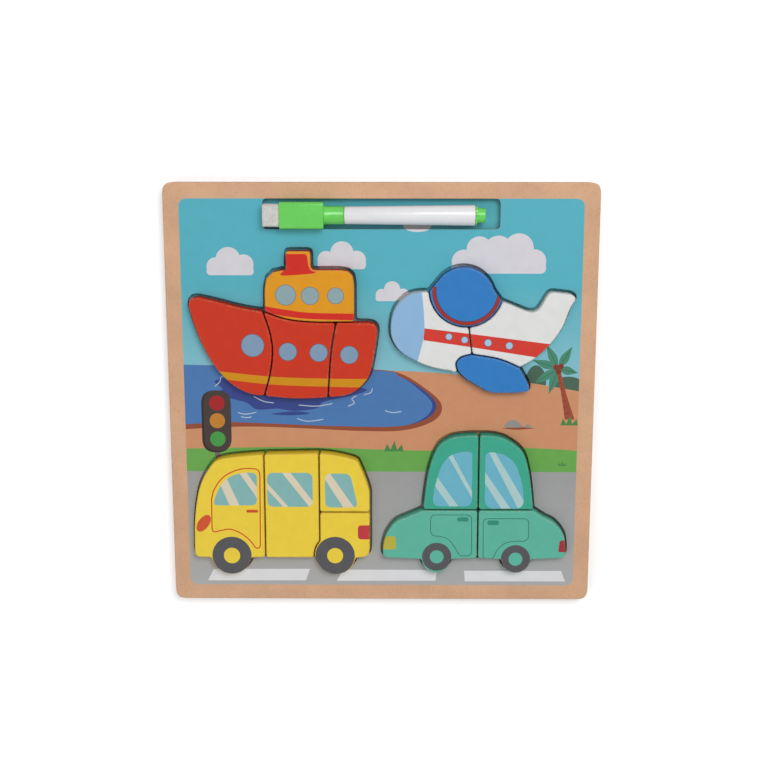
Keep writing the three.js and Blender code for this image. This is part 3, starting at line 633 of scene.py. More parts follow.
def without_idle(loop):
    """A loop without the points that lie on the line of their neighbours."""
    kept = []
    for index, point in enumerate(loop):
        before = Vector(kept[-1] if kept else loop[-1])
        span = Vector(loop[(index + 1) % len(loop)]) - before
        aside = Vector(point) - before
        if abs(span.cross(aside)) > IDLE_BEND * span.length:
            kept.append(point)
    return kept


# Meshes

class Shell:
    """Gathers the points, normals and coloured faces of one closed surface, in millimetres."""

    def __init__(self):
        self.index = {}
        self.points = []
        self.normals = []
        self.rims = []
        self.faces = []
        self.colours = []

    def point(self, place, normal, rim):
        """The index of a point, which is a new one unless the shell already has one there."""
        key = tuple(round(value, KEY_DIGITS) for value in place)
        if key not in self.index:
            self.index[key] = len(self.points)
            self.points.append(place)
            self.normals.append(normal)
            self.rims.append(rim)
        return self.index[key]

    def face(self, corners, colour):
        """Adds a face, unless its corners run together into a line."""
        corners = [corner for step, corner in enumerate(corners) if corner != corners[step - 1]]
        if len(set(corners)) > 2:
            self.faces.append(corners)
            self.colours.append(colour)

    def build(self, name):
        mesh = bpy.data.meshes.new(name)
        mesh.from_pydata([tuple(value * MM for value in point) for point in self.points], [], self.faces)
        names = list(dict.fromkeys(self.colours))
        for colour in names:
            mesh.materials.append(finish_named(colour))
        mesh.polygons.foreach_set("material_index", [names.index(colour) for colour in self.colours])
        mesh.polygons.foreach_set("use_smooth", [True] * len(self.faces))
        mark_rims(mesh, self.rims)
        mesh.validate()
        mesh.normals_split_custom_set_from_vertices(self.normals)
        return add_object(name, mesh)


def mark_rims(mesh, rims):
    """Stores how much of an edge each point is, for the wear in the materials."""
    mesh.attributes.new("rim", "FLOAT", "POINT").data.foreach_set("value", rims)


def add_object(name, data):
    made = bpy.data.objects.new(name, data)
    bpy.context.scene.collection.objects.link(made)
    return made


def settle(piece, body, node, slot):
    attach(piece, body)
    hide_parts(node)


def levels_of(node):
    """The heights of a node's foot and top."""
    low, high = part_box(node)
    return low.z / MM, high.z / MM


def distances(places, loop):
    """The distance of each place from a loop, and the direction from the loop's nearest point to it."""
    starts = numpy.array(loop)
    spans = numpy.roll(starts, -1, axis=0) - starts
    lengths = (spans ** 2).sum(axis=1)
    found = numpy.full(len(places), numpy.inf)
    ways = numpy.zeros((len(places), 2))
    for start, span, length in zip(starts, spans, lengths):
        share = numpy.clip(((places - start) @ span) / max(length, SAME_SPOT ** 2), 0, 1)
        aside = places - start - share[:, None] * span
        apart = numpy.hypot(aside[:, 0], aside[:, 1])
        nearer = apart < found
        found[nearer] = apart[nearer]
        ways[nearer] = aside[nearer] / numpy.maximum(apart[nearer], SAME_SPOT)[:, None]
    return found, ways


def eased(places, edges, radii):
    """How far each place of a face lies below its flat, and its outward tilt, where edges are rounded."""
    drop = numpy.zeros(len(places))
    tilt = numpy.zeros((len(places), 2))
    for edge, radius in zip(edges, radii):
        apart, ways = distances(places, edge.loop)
        reach = numpy.clip(1 - apart / radius, 0, 1)
        fall = radius * (1 - numpy.sqrt(1 - reach ** 2))
        deeper = fall > drop
        drop[deeper] = fall[deeper]
        tilt[deeper] = -ways[deeper] * reach[deeper][:, None]
    return drop, tilt


@dataclass
class Edge:
    """A loop of a plate, the rounding of its foot and top, and its side's colour, or a function for that."""
    loop: list
    foot: float
    top: float
    side: object


def plate(name, edges, levels, colour, prints):
    """A closed plate between two heights: faces that round over to its walls, with prints on the top one."""
    low, high = levels
    shell = Shell()
    foot = add_face(shell, edges, [edge.foot for edge in edges], low, -1, colour, [])
    top = add_face(shell, edges, [edge.top for edge in edges], high, 1, colour, prints)
    first = 0
    for edge in edges:
        for step, place in enumerate(edge.loop):
            side = edge.side(*place) if callable(edge.side) else edge.side
            shell.face([*foot[first + step], *top[first + step][::-1]], side)
        first += len(edge.loop)
    return shell.build(name)


def add_face(shell, edges, radii, level, side, plain_colour, prints):
    """Adds a face with rounded edges and returns the shell's points along each edge of its loops."""
    folds = []
    for edge, radius in zip(edges, radii):
        aside = sideways(edge.loop, True)
        for step in range(1, EDGE_STEPS + 1):
            inset = radius * (1 - math.cos(math.pi / 2 * step / EDGE_STEPS))
            folds.append([(x - inset * out.x, y - inset * out.y) for (x, y), out in zip(edge.loop, aside)])
    spots, faces, chains = partition([edge.loop for edge in edges], prints, folds)
    drops, tilts = eased(numpy.array([tuple(spot) for spot in spots]), edges, radii)
    on_wall = walls_at(edges, chains)
    used = {}
    for corners, colour in faces:
        for corner in corners:
            if corner not in used:
                lean = on_wall.get(corner, tilts[corner])
                slope = math.hypot(*lean)
                rise = math.sqrt(max(0.0, 1 - slope ** 2))
                place = (*spots[corner], level - side * drops[corner])
                used[corner] = shell.point(place, (*lean, side * rise), rim=2 * rise * slope)
        placed = [used[corner] for corner in corners]
        shell.face(placed if side > 0 else placed[::-1], colour or plain_colour)
    return [[used[spot] for spot in chain] for chain in chains]


def walls_at(edges, chains):
    """The level outward direction at each point of a face's loops."""
    found = {}
    first = 0
    for edge in edges:
        aside = [out.normalized() for out in sideways(edge.loop, True)]
        for step, out in enumerate(aside):
            after = aside[(step + 1) % len(aside)]
            for spot in chains[first + step]:
                found.setdefault(spot, tuple((out + after).normalized()))
            found[chains[first + step][0]] = tuple(out)
        first += len(edge.loop)
    return found


# Prints on the pieces

# For each kind of round window: the colours of its line and glass, and how far the line reaches out and in
WINDOWS = {
    "hull": ("porthole_edge", "porthole", 0.15, 0.15),
    "cabin": ("glass_edge", "cabin_glass", 0.15, 0.15),
    "plane": ("window_edge", "plane_window", 0.2, 0.1),
}
HULL_STRIPE = band(
    [(-90, 15.6), (-58.5, 12.3), (-28.3, 11.2), (-4, 11.1)],
    [(-90, 11.7), (-58.5, 8.1), (-28.3, 6.9), (-4, 6.4)],
)
CABIN_STRIPE = band(
    [(-62, 49.6), (-49.6, 47.5), (-36.4, 45.9), (-13, 45.5)],
    [(-62, 46.2), (-49.6, 44), (-36.4, 42.6), (-13, 42)],
)
FUNNEL_PRINT = (
    curve([(-52.3, 66), (-50.9, 67), (-50.2, 69.2)])
    + rounded([(-50.2, 70), (-50.2, 76.3), (-38.2, 76.3), (-37.4, 70)], 1.6, False)
    + curve([(-37.2, 69.6), (-36, 67.9), (-33.4, 67.2)])
    + curve([(-34.6, 66.3), (-42, 65.6), (-51, 65.1)])
)
FUNNEL_FOOT = 67.6
PLANE_BAND = band([(22, 37.9), (46, 35), (90, 29.4)], [(22, 31.6), (46, 28.1), (90, 21.2)])
NOSE_CAP = curve([(20.8, 58), (22.2, 44), (22, 33), (18.2, 18)]) + [(0, 18), (0, 58)]
SEAT_CENTRE = (44.2, 57.3)
SEAT_ENDS = (172, 358)
COLLAR_INNER, COLLAR_OUTER = 16.1, 17.6
COLLAR_LINE = 0.3
BUS_DOOR = (
    [(-90.7, -54.6), (-90.9, -70.8)]
    + curve([(-90.6, -72.1), (-89.4, -72.7), (-86, -71.9), (-81.3, -71.2),
             (-75.9, -73.2), (-71.2, -76.9), (-67.9, -81.2)])
    + curve([(-66.9, -81.9), (-65.6, -81.4), (-65.1, -80)])
    + curve([(-64.6, -41.4), (-65.3, -38.7), (-68, -37.6), (-75, -37.9),
             (-82.1, -40.8), (-86.6, -45), (-89.7, -50.2)])
)
BUS_DOOR_LINE = 0.65
CAR_FRONT_DOOR = (
    rounded([(26.4, -69.4), (26.4, -62.9), (48.3, -62.9), (48.6, -85.8), (42.8, -85.8)], 2.8, False)
    + curve([(41.6, -85), (39.6, -81.2), (36, -76.6), (31.5, -74.9),
             (28.2, -74.5), (26.6, -72.8), (26.4, -70.4)])
)
CAR_REAR_DOOR = (
    rounded([(79, -72.4), (78.9, -64.9), (54.5, -64.9), (54.8, -87.5), (59.5, -87.5)], 2.8, False)
    + curve([(60.4, -86.6), (62.4, -82.4), (66.4, -78.7), (71.8, -77.5),
             (76.6, -77.4), (78.8, -75.6), (79, -73.4)])
)
CAR_DOOR_LINE = 0.4
CAR_TAIL_LIGHT = [(95, -83.6), (103, -83.6), (103, -77), (95.8, -77)]
BUS_TYRE = 10.6
CAR_TYRE, CAR_HUB = 7.9, 3.7
PANES = {
    "bus_front": (
        rounded([(-88.6, -53), (-89.9, -57.9), (-66.5, -57.9), (-66.2, -39.8), (-73, -39.8)], 3.4, False)
        + curve([(-74, -39.9), (-80, -41.8), (-85, -46), (-88.2, -52)])
    ),
    "bus_middle": box(-60.9, -58.6, -36.6, -39.8, 3.6),
    "bus_rear": rounded([(-30, -58.9), (-12.4, -58.9), (-16.6, -40.2), (-30, -40.2)], 3.4),
    "car_front": (
        rounded([(28.2, -48.4), (27.2, -58.1), (48.4, -58.1), (48.2, -28), (43.4, -28)], 4.4, False)
        + curve([(43, -28.1), (36.4, -30.4), (31.6, -36.8), (28.6, -47)])
    ),
    "car_rear": (
        rounded([(61, -28.4), (55.2, -28.4), (55.2, -59.3), (76.4, -59.2), (75.3, -48)], 5.4, False)
        + curve([(75.1, -46.5), (71.4, -35.4), (65.6, -30), (60, -28.5)])
    ),
}
STREAKS = {
    "bus_front": [[(-86.5, -44.7), (-82.5, -42.8), (-75.6, -58.4), (-80.9, -58.4)],
                  [(-76.2, -39), (-72.2, -39), (-65.8, -48.6), (-65.8, -54.6)]],
    "bus_middle": [[(-61.5, -44.6), (-49.4, -59), (-52.1, -59), (-61.5, -48.2)],
                   [(-53.4, -39), (-48.8, -39), (-36, -56.4), (-38.1, -59)]],
    "bus_rear": [[(-30.4, -42.6), (-27.6, -39.6), (-14.2, -59.4), (-20, -59.4)]],
    "car_front": [[(27, -38), (41.7, -59), (37, -59), (27, -44.6)],
                  [(34.6, -29), (37, -28.6), (48.8, -50.6), (48.8, -54.4)]],
    "car_rear": [[(54.6, -38.4), (69.4, -60), (64.5, -60), (54.6, -44.4)],
                 [(56.8, -28), (60, -28), (76.6, -56), (73.4, -60)]],
}


def windows(kind, *discs):
    line_colour, glass_colour, outside, inside = WINDOWS[kind]
    shapes = []
    for x, y, radius in discs:
        shapes.append(fill(line_colour, disc(x, y, radius + outside)))
        shapes.append(fill(glass_colour, disc(x, y, radius - inside)))
    return shapes


def pane(name):
    """A car or bus window with the streaks of light across it."""
    vehicle = name.split("_")[0]
    loop = PANES[name]
    streaks = [fill(f"{vehicle}_streak", streak, window=loop) for streak in STREAKS[name]]
    return [fill(f"{vehicle}_glass", loop), *streaks]


def wheel(x, y, tyre, hub, hub_colour):
    return [fill("tyre", disc(x, y, tyre)), fill(hub_colour, disc(x, y, hub))]


@dataclass
class Look:
    """A piece's slot, which is not used, its colour, the prints on its face, and its side where that
    differs.
    """
    slot: str
    colour: str
    prints: list
    side: object = None


def cabin_side(x, y):
    return "cabin_red" if y > FUNNEL_FOOT else "cabin_side"


def ship_looks():
    stripe = fill("hull_gold", HULL_STRIPE)
    cabin_windows = windows("cabin", (-49.4, 55.1, 5.3), (-36.8, 54.7, 4.6), (-23.6, 54.7, 4.2))
    cabin_reds = [fill("cabin_red", FUNNEL_PRINT), fill("cabin_red", CABIN_STRIPE)]
    hull_windows = {
        "ship_bow": [(-67, 28.7, 6)],
        "ship_midship": [(-48.7, 25.4, 4.7), (-32.6, 24.9, 4.7)],
        "ship_stern": [(-16.7, 23.8, 4.7)],
    }
    looks = {node: Look("red_paint", "hull_red", [stripe, *windows("hull", *discs)])
             for node, discs in hull_windows.items()}
    looks["ship_cabin"] = Look("orange_paint", "cabin_orange", cabin_reds + cabin_windows, cabin_side)
    return looks


def plane_looks():
    red = fill("plane_red", PLANE_BAND)
    cap = fill("plane_nose", NOSE_CAP)
    front_windows = windows("plane", (35.1, 33.5, 1.7), (43.3, 31.8, 1.7))
    rear_windows = windows("plane", (55.5, 30.3, 1.85), (66.6, 28.8, 1.85))
    line = arch_band(*SEAT_CENTRE, COLLAR_INNER - COLLAR_LINE, COLLAR_OUTER + COLLAR_LINE, *SEAT_ENDS)
    collar = arch_band(*SEAT_CENTRE, COLLAR_INNER, COLLAR_OUTER, *SEAT_ENDS)
    seat = [fill("cockpit_line", line), fill("cockpit_red", collar)]
    return {
        "plane_nose": Look("white_paint", "plane_white", [red, cap, *front_windows]),
        "plane_tail": Look("white_paint", "plane_white", [red, *rear_windows]),
        "plane_cockpit": Look("blue_paint", "plane_blue", seat),
        "plane_wing": Look("blue_paint", "plane_blue", []),
    }


def bus_looks():
    front = [
        fill("bus_line", *closed_stroke(BUS_DOOR, BUS_DOOR_LINE)),
        fill("bus_line", box(-72.2, -61.9, -66, -60.3, 0.8)),
        fill("bus_light", oval(-95.3, -67.9, 5.4, 2.9, 54)),
        *pane("bus_front"),
        *wheel(-80.5, -86, BUS_TYRE, 4.4, "bus_yellow"),
    ]
    rear_bottom = [
        fill("bus_tail_light", box(-12.6, -76.7, -2, -68.8, 2)),
        *wheel(-24.9, -85.9, BUS_TYRE, 4.3, "bus_yellow"),
    ]
    prints = {
        "bus_front": front,
        "bus_middle": pane("bus_middle"),
        "bus_rear_top": pane("bus_rear"),
        "bus_rear_bottom": rear_bottom,
    }
    return {node: Look("yellow_paint", "bus_yellow", shapes) for node, shapes in prints.items()}


def car_looks():
    front = [
        fill("car_line", *closed_stroke(CAR_FRONT_DOOR, CAR_DOOR_LINE)),
        fill("car_handle", box(40.6, -66.5, 46.6, -64.2, 1.1)),
        fill("car_headlight", box(-4, -82.3, 7.7, -74.9, 1.4)),
        *wheel(29.8, -86.4, CAR_TYRE, CAR_HUB, "car_body"),
    ]
    rear = [
        fill("car_line", *closed_stroke(CAR_REAR_DOOR, CAR_DOOR_LINE)),
        fill("car_handle", box(56.8, -68.5, 62.9, -65.9, 1.1)),
        fill("car_tail_light", rounded(CAR_TAIL_LIGHT, 1.2)),
        *wheel(72.2, -87.6, CAR_TYRE, CAR_HUB, "car_body"),
    ]
    return {
        "car_roof_front": Look("green_paint", "car_roof", pane("car_front")),
        "car_roof_rear": Look("green_paint", "car_roof", pane("car_rear")),
        "car_body_front": Look("green_paint", "car_body", front),
        "car_body_rear": Look("green_paint", "car_body", rear),
    }


def make_pieces():
    looks = ship_looks() | plane_looks() | bus_looks() | car_looks()
    for node, look in looks.items():
        low, high = levels_of(node)
        wall = smoothed(outlines(node, high - PIECE_EDGE_ROUND)[0])
        edge = Edge(wall, PIECE_EDGE_ROUND, PIECE_EDGE_ROUND, look.side or look.colour)
        piece = plate(f"{node}_painted", [edge], (low, high), look.colour, look.prints)
        settle(piece, node, node, look.slot)


# Printed scene of the board: sky and clouds, a pond with its shore, sand, grass and a road

PICTURE_HALF = 104.2
PICTURE_CORNER = 4.5
PICTURE = box(-PICTURE_HALF, -PICTURE_HALF, PICTURE_HALF, PICTURE_HALF, PICTURE_CORNER)
BEYOND = 110
BELOW_GRASS = -60
ROAD_TOP = -40.4
POND_END, DEEP_POND_END = 27, 29
WAVE_WIDTH = 0.45
# Round lobes of each cloud: the middle and the radius
CLOUDS = [
    [(-86, 69.4, 4.6), (-79.4, 73, 6.4), (-71.4, 70.4, 5.2)],
    [(-28.6, 73, 4.4), (-20.4, 76.4, 6), (-12.8, 72.8, 4.8)],
    [(42.6, 72, 6.2), (50.6, 78.4, 6.6), (60.4, 78, 7.4), (71, 79, 7.6), (79, 72.2, 6.2)],
    [(0.2, 54.6, 3.2), (5.6, 57.6, 4.2), (11.2, 54.8, 3.2)],
]
WATER_PATCHES = [
    [(-92, 2.6), (-84, 4.4), (-88, 9), (-74, 10.6), (-50, 5), (-24, 7), (-8, 4.6), (-14, 1.6), (-30, -2),
     (-34, -5.6), (-46, -7.2), (-55, -6), (-66, -6.4), (-72, -2.6), (-84, 0.4)],
    [(-58, -8.8), (-48, -9.6), (-38, -8.6), (-46, -7.4)],
]
WAVES = [
    [(-88, 6), (-85.4, 8.4), (-84.6, 11), (-82.6, 11.6)],
    [(-67.6, 0.6), (-62.4, -2), (-57, -2.9)],
    [(-43.8, -4), (-34.6, -4.6), (-26, -3.2)],
    [(-76.2, -8.2), (-72, -9), (-66.4, -8)],
    [(-74.6, -10.4), (-71.4, -10.9), (-69, -10.4)],
    [(-44.6, -11.4), (-39, -12.8), (-31, -11.8)],
    [(-17.6, -4.6), (-14.4, -2.8), (-15.6, -0.6), (-13.2, 1)],
    [(-9.2, 1.6), (-5.6, 2.8), (-4.8, 5)],
    [(2, -7), (6, -8), (10.6, -7.4)],
]
SHORE = curve([
    (-8, 15.4), (8, 13.8), (20.6, 7), (31.6, -3), (28.6, -11.8), (12, -17.6), (-12, -18),
    (-42, -16.6), (-74, -15.8), (-BEYOND, -17.6),
]) + [(-BEYOND, 0)]
DASHES = [
    [(-94.7, -102), (-41.2, -101.8), (-38.9, -95.2), (-91.3, -95.4)],
    [(-24.3, -102), (29.4, -101.8), (30.2, -95.6), (-20.9, -95.6)],
    [(45.4, -102.1), (100, -102), (97.7, -96), (44.9, -96)],
]
# Blades of a tuft, in shares of its size: where the foot stands, how high the tip is and where
BLADES = [(-0.52, 0.7, -0.62), (0, 1, 0.05), (0.52, 0.66, 0.72)]
BLADE_HALF = 0.34
PALM_CROWN = (93, 15.8)
PALM_TIPS = [(86.6, 28.6), (100, 27.4), (79.4, 20.4), (103.2, 13.6), (80.6, 8), (88.4, 2.4)]
PALM_LEAF_WIDTH = 4.6
PALM_LINE = 0.4
# Rings of the trunk, from the top: how they step down and aside, widen and bend
RING_COUNT = 7
RING_TOP = (93.2, 11)
RING_STEP = 3.2
RING_DRIFT, RING_LEAN = 0.055, 6
RING_HALF, RING_GROWTH = 1, 0.22
RING_BEND = (0.4, -0.3, 0.7)
NUTS = [(91.8, 16.6), (94.4, 17), (93.2, 14.2)]
NUT_RADIUS = 1.5
LAMPS_X, LAMP_RADIUS = -87.2, 4.1
LAMP_HEIGHTS = {"lamp_red": -3, "lamp_amber": -12.6, "lamp_green": -22.6}


def on_picture(colour, *loops):
    return fill(colour, *loops, window=PICTURE)


def cloud(lobes):
    """Round lobes on a flat foot, filled up to the middles of the inner ones."""
    foot = min(y - radius for x, y, radius in lobes)
    first, last = lobes[0], lobes[-1]
    base = box(first[0] - first[2], foot, last[0] + last[2], first[1], first[2] / 2)
    core = box(first[0], foot, last[0], min(y for x, y, radius in lobes[1:-1]), first[2] / 4)
    return [on_picture("cloud", loop) for loop in (base, core, *[disc(*lobe) for lobe in lobes])]


def across_picture(upper_edge, foot):
    """A stretch of ground from a smooth upper edge down to a level foot."""
    return curve(upper_edge) + [(BEYOND, foot), (-BEYOND, foot)]


def pond_loop(end):
    """The pond, from beyond the picture's left side to its round end on the right."""
    far_shore = [(-BEYOND, 17.8), (-6, 14.9), (9.6, 11.4)]
    round_end = [(end - 7, 4.4), (end, -3.6), (end - 4.6, -11)]
    near_shore = [(9, -15.4), (-24, -15.4), (-56, -14.2), (-82, -13.4), (-BEYOND, -15)]
    return curve(far_shore + round_end + near_shore) + [(-BEYOND, 0)]


def water():
    return [
        on_picture("shore", SHORE),
        on_picture("deep_water", pond_loop(DEEP_POND_END)),
        on_picture("water", pond_loop(POND_END)),
        *[on_picture("deep_water", curve(patch, True)) for patch in WATER_PATCHES],
        *[on_picture("wave", *stroke(curve(wave), WAVE_WIDTH)) for wave in WAVES],
    ]


def rocks():
    large = [(65.8, -15.8), (66.6, -13), (70.2, -11.8), (73.6, -13.6), (74.4, -15.8)]
    small = [(75.8, -15.9), (77.4, -14.2), (80, -15.8)]
    return [
        on_picture("shore", leaf((63.8, -16.4), (82, -16.4), 1.6)),
        on_picture("rock", curve(large, True)),
        on_picture("rock", curve(small, True)),
    ]


def tuft(x, y, size):
    half = BLADE_HALF * size
    shapes = []
    for foot, rise, tip in BLADES:
        middle = x + foot * size
        peak = (x + tip * size, y + rise * size)
        shapes.append(on_picture("tuft", [(middle - half, y), (middle + half, y), peak]))
    return shapes


def palm():
    trunk = curve([(92, 14), (94.6, 4), (97.2, -11.6)]) + curve([(102.4, -11.6), (97.4, 3), (94.4, 14.4)])
    shapes = []
    for tip in PALM_TIPS:
        shapes.append(on_picture("palm_leaf", leaf(PALM_CROWN, tip, PALM_LEAF_WIDTH)))
        shapes.append(on_picture("palm_vein", *stroke([PALM_CROWN, tip], PALM_LINE)))
    shapes.append(on_picture("trunk", trunk))
    for step in range(RING_COUNT):
        middle = RING_TOP[0] + RING_DRIFT * step * (step + RING_LEAN)
        level = RING_TOP[1] - RING_STEP * step
        half = RING_HALF + RING_GROWTH * step
        ring = curve([(middle + side * half, level + rise) for side, rise in zip((-1, 0, 1), RING_BEND)])
        shapes.append(fill("trunk_ring", *stroke(ring, PALM_LINE), window=trunk))
    for nut in NUTS:
        shapes.append(on_picture("nut", disc(*nut, NUT_RADIUS, SMALL_DISC_STEPS)))
    return shapes + tuft(99.6, -14.8, 5.4)


def traffic_light():
    return [
        fill("lamp_post", box(-89, -50, -86.2, -26, 0.3)),
        fill("lamp_side", box(-95.5, -30, -80.4, 3.8, 7.4)),
        fill("lamp_body", box(-94.4, -29.2, -79.8, 3.8, 7.2)),
        *[fill(colour, disc(LAMPS_X, y, LAMP_RADIUS)) for colour, y in LAMP_HEIGHTS.items()],
    ]


def picture():
    """All prints of the board, from the back to the front."""
    sand = [(-BEYOND, 15), (-6, 14.8), (38, 12.8), (78, 8.2), (BEYOND, 2.6)]
    grass = [(-BEYOND, -28), (-44, -27), (26, -28.8), (76, -27.2), (BEYOND, -29)]
    road = [(-BEYOND, ROAD_TOP), (BEYOND, ROAD_TOP), (BEYOND, -BEYOND), (-BEYOND, -BEYOND)]
    hills = [oval(81.4, 8.6, 9, 5.4, 90), oval(98.4, 6, 9, 5.6, 0)]
    return [
        fill("sky", PICTURE),
        *sum([cloud(lobes) for lobes in CLOUDS], []),
        on_picture("cloud", oval(18.6, 90.4, 7.4, 3.2, 0)),
        *[on_picture("hill", hill) for hill in hills],
        on_picture("sand", across_picture(sand, BELOW_GRASS)),
        on_picture("grass", across_picture(grass, BELOW_GRASS)),
        on_picture("road", road),
        *[on_picture("dash", dash) for dash in DASHES],
        *water(),
        *rocks(),
        *palm(),
        *tuft(6.6, -29.2, 6),
        *tuft(96.4, -37, 2.6),
        *traffic_light(),
    ]


def make_board():
    scenery = picture()
    loops = [smoothed(loop) for loop in outlines("frame_board", levels_of("frame_board")[1])]
    rim, holes = loops[0], [loop[::-1] for loop in loops[1:]]
    sheet_edges = [Edge(rim, SHEET_EDGE_ROUND, SHEET_EDGE_ROUND, "whiteboard")]
    base_edges = [Edge(rim, SHEET_EDGE_ROUND, SHEET_EDGE_ROUND, "board_edge")]
    frame_edges = [Edge(rim, SHEET_EDGE_ROUND, RIM_EDGE_ROUND, "board_edge")]
    frame_edges += [Edge(hole, SHEET_EDGE_ROUND, RECESS_EDGE_ROUND, "board_edge") for hole in holes]
    layers = [
        ("whiteboard_film", "whiteboard_sheet", sheet_edges, "whiteboard", [], "whiteboard"),
        ("base_printed", "base_board", base_edges, "border", scenery, "fibreboard"),
        ("frame_printed", "frame_board", frame_edges, "border", scenery, "printed_fibreboard"),
    ]
    for name, node, edges, colour, prints, slot in layers:
        settle(plate(name, edges, levels_of(node), colour, prints), "board", node, slot)


# Marker: lofts of sections along its axis

CAP_BLOCK_LENGTH = 22.6
CAP_BLOCK_WIDTH = 13.6
CAP_BLOCK_ROUND = 1.6
CAP_LEAST_ROUND = 0.3
CAP_EDGE_ROUND = 0.5
CAP_POCKET_WALL = 0.8
CAP_POCKET_DEPTH = 8.2
NECK_RADIUS = 4.7
NECK_WALL = 1.1
NECK_FILLET = 0.5
NECK_FILLET_MIDDLE = 0.15
NECK_EDGE_ROUND = 0.3
SPIGOT_LENGTH = 6.5
SPIGOT_RADIUS = 3.35
BARREL_FRONT_RADIUS = 4.5
BARREL_REAR_RADIUS = 5.25
BARREL_BORE_RADIUS = 3.3
BARREL_EDGE_ROUND = 0.35
NIB_BORE_RADIUS = 2.05
NIB_SHOULDER_LENGTH = 2.5
PLUG_COLLAR_LENGTH = 0.95
PLUG_COLLAR_RADIUS = 5.05
PLUG_RIB_DEPTH = 0.35
PLUG_RIB_END = 0.1
PLUG_TAIL_RADIUS = 3.8
PLUG_STUB_LENGTH = 6.25
PLUG_STUB_RADIUS = 3.05
PLUG_EDGE_ROUND = 0.4
SECTION_STEPS = 12
RIB_STEPS, GROOVE_STEPS = 4, 2
FELT_ROUND = 1.0
FELT_EDGE_ROUND = FELT_ROUND / 2
FELT_RINGS = 40
FELT_FUZZ = 0.09
FUZZ_COARSE, FUZZ_FINE = 1.9, 5.3
FUZZ_SETBACK = 0.6
SHARP_EDGE = math.radians(40)
FELT_SHARP_EDGE = math.radians(60)
GENTLE_BEND = math.radians(5)
SHARP_BEND = math.radians(12)


class Loft:
    """A surface through sections that stand square to the marker's axis."""

    def __init__(self, y, z):
        self.y = y
        self.z = z
        self.sections = []

    def section(self, x, half_width, half_height, radius, ribs=0.0):
        """A rounded rectangle, or a circle where all its sizes are alike."""
        points = []
        for quarter in range(4):
            sign_y = 1 if quarter in (0, 3) else -1
            sign_z = 1 if quarter in (0, 1) else -1
            for step in range(SECTION_STEPS):
                turn = math.pi / 2 * (quarter + (step + 0.5) / SECTION_STEPS)
                reach = radius - (ribs if step % RIB_STEPS < GROOVE_STEPS else 0)
                points.append((
                    x,
                    self.y + sign_y * (half_width - radius) + reach * math.cos(turn),
                    self.z + sign_z * (half_height - radius) + reach * math.sin(turn),
                ))
        self.sections.append(points)

    def circle(self, x, radius, ribs=0.0):
        self.section(x, radius, radius, radius, ribs)

    def round_front(self, x, radius, edge_round):
        """A round edge at the front of a turned length, from its end face to its side."""
        for along, inset in quarter_round(edge_round):
            self.circle(x + along, radius - inset)

    def round_rear(self, x, radius, edge_round):
        """A round edge at the rear of a turned length, from its side to its end face."""
        for along, inset in reversed(quarter_round(edge_round)):
            self.circle(x - along, radius - inset)

    def build(self, name, colour, ring=False, sharp=SHARP_EDGE):
        """Joins the sections, closing the ends, or the last section to the first where it is a ring."""
        mesh = bmesh.new()
        rows = [[mesh.verts.new(Vector(point) * MM) for point in points] for points in self.sections]
        pairs = list(zip(rows, rows[1:]))
        if ring:
            pairs.append((rows[-1], rows[0]))
        for first, second in pairs:
            for step in range(len(first)):
                after = (step + 1) % len(first)
                mesh.faces.new((first[step], first[after], second[after], second[step]))
        if not ring:
            mesh.faces.new(rows[0][::-1])
            mesh.faces.new(rows[-1])
        bmesh.ops.recalc_face_normals(mesh, faces=mesh.faces)
        mesh.normal_update()
        rims = [rim_of(vert) for vert in mesh.verts]
        data = bpy.data.meshes.new(name)
        mesh.to_mesh(data)
        mesh.free()
        mark_rims(data, rims)
        data.materials.append(finish_named(colour))
        data.shade_smooth()
        data.set_sharp_from_angle(angle=sharp)
        return add_object(name, data)


def rim_of(vert):
    """How much of an edge a point is, from how the surface bends there."""
    bend = max(vert.normal.angle(face.normal) for face in vert.link_faces)
    return min(1, max(0, bend - GENTLE_BEND) / SHARP_BEND)


def quarter_round(radius):
    """The places of a round edge, from the end face to the side: how far along it, and how far in."""
    turns = [math.pi / 2 * step / EDGE_STEPS for step in range(EDGE_STEPS + 1)]
    return [(radius * (1 - math.cos(turn)), radius * (1 - math.sin(turn))) for turn in turns]


def loft_for(node):
    """The corners of a node's box, and an empty loft along the middle of it."""
    low, high = (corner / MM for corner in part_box(node))
    middle = (low + high) / 2
    return low, high, Loft(middle.y, middle.z)


def make_cap():
    low, high, loft = loft_for("marker_cap")
    block_end = low.x + CAP_BLOCK_LENGTH
    half_width = CAP_BLOCK_WIDTH / 2
    half_height = (high.z - low.z) / 2
    bore = NECK_RADIUS - NECK_WALL

    def block(x, inset):
        corner = max(CAP_LEAST_ROUND, CAP_BLOCK_ROUND - inset)
        loft.section(x, half_width - inset, half_height - inset, corner)

    for x in (low.x + CAP_POCKET_DEPTH, low.x):
        loft.section(x, half_width - CAP_POCKET_WALL, half_height - CAP_POCKET_WALL, FELT_ROUND)
    for along, inset in quarter_round(CAP_EDGE_ROUND):
        block(low.x + along, inset)
    for along, inset in reversed(quarter_round(CAP_EDGE_ROUND)):
        block(block_end - along, inset)
    loft.circle(block_end, NECK_RADIUS + NECK_FILLET)
    loft.circle(block_end + NECK_FILLET_MIDDLE, NECK_RADIUS + NECK_FILLET_MIDDLE)
    loft.circle(block_end + NECK_FILLET, NECK_RADIUS)
    loft.round_rear(high.x, NECK_RADIUS, NECK_EDGE_ROUND)
    loft.circle(high.x, bore)
    loft.circle(block_end - SPIGOT_LENGTH, bore)
    settle(loft.build("cap_moulded", "marker_green"), "marker_cap", "marker_cap", "green_plastic")


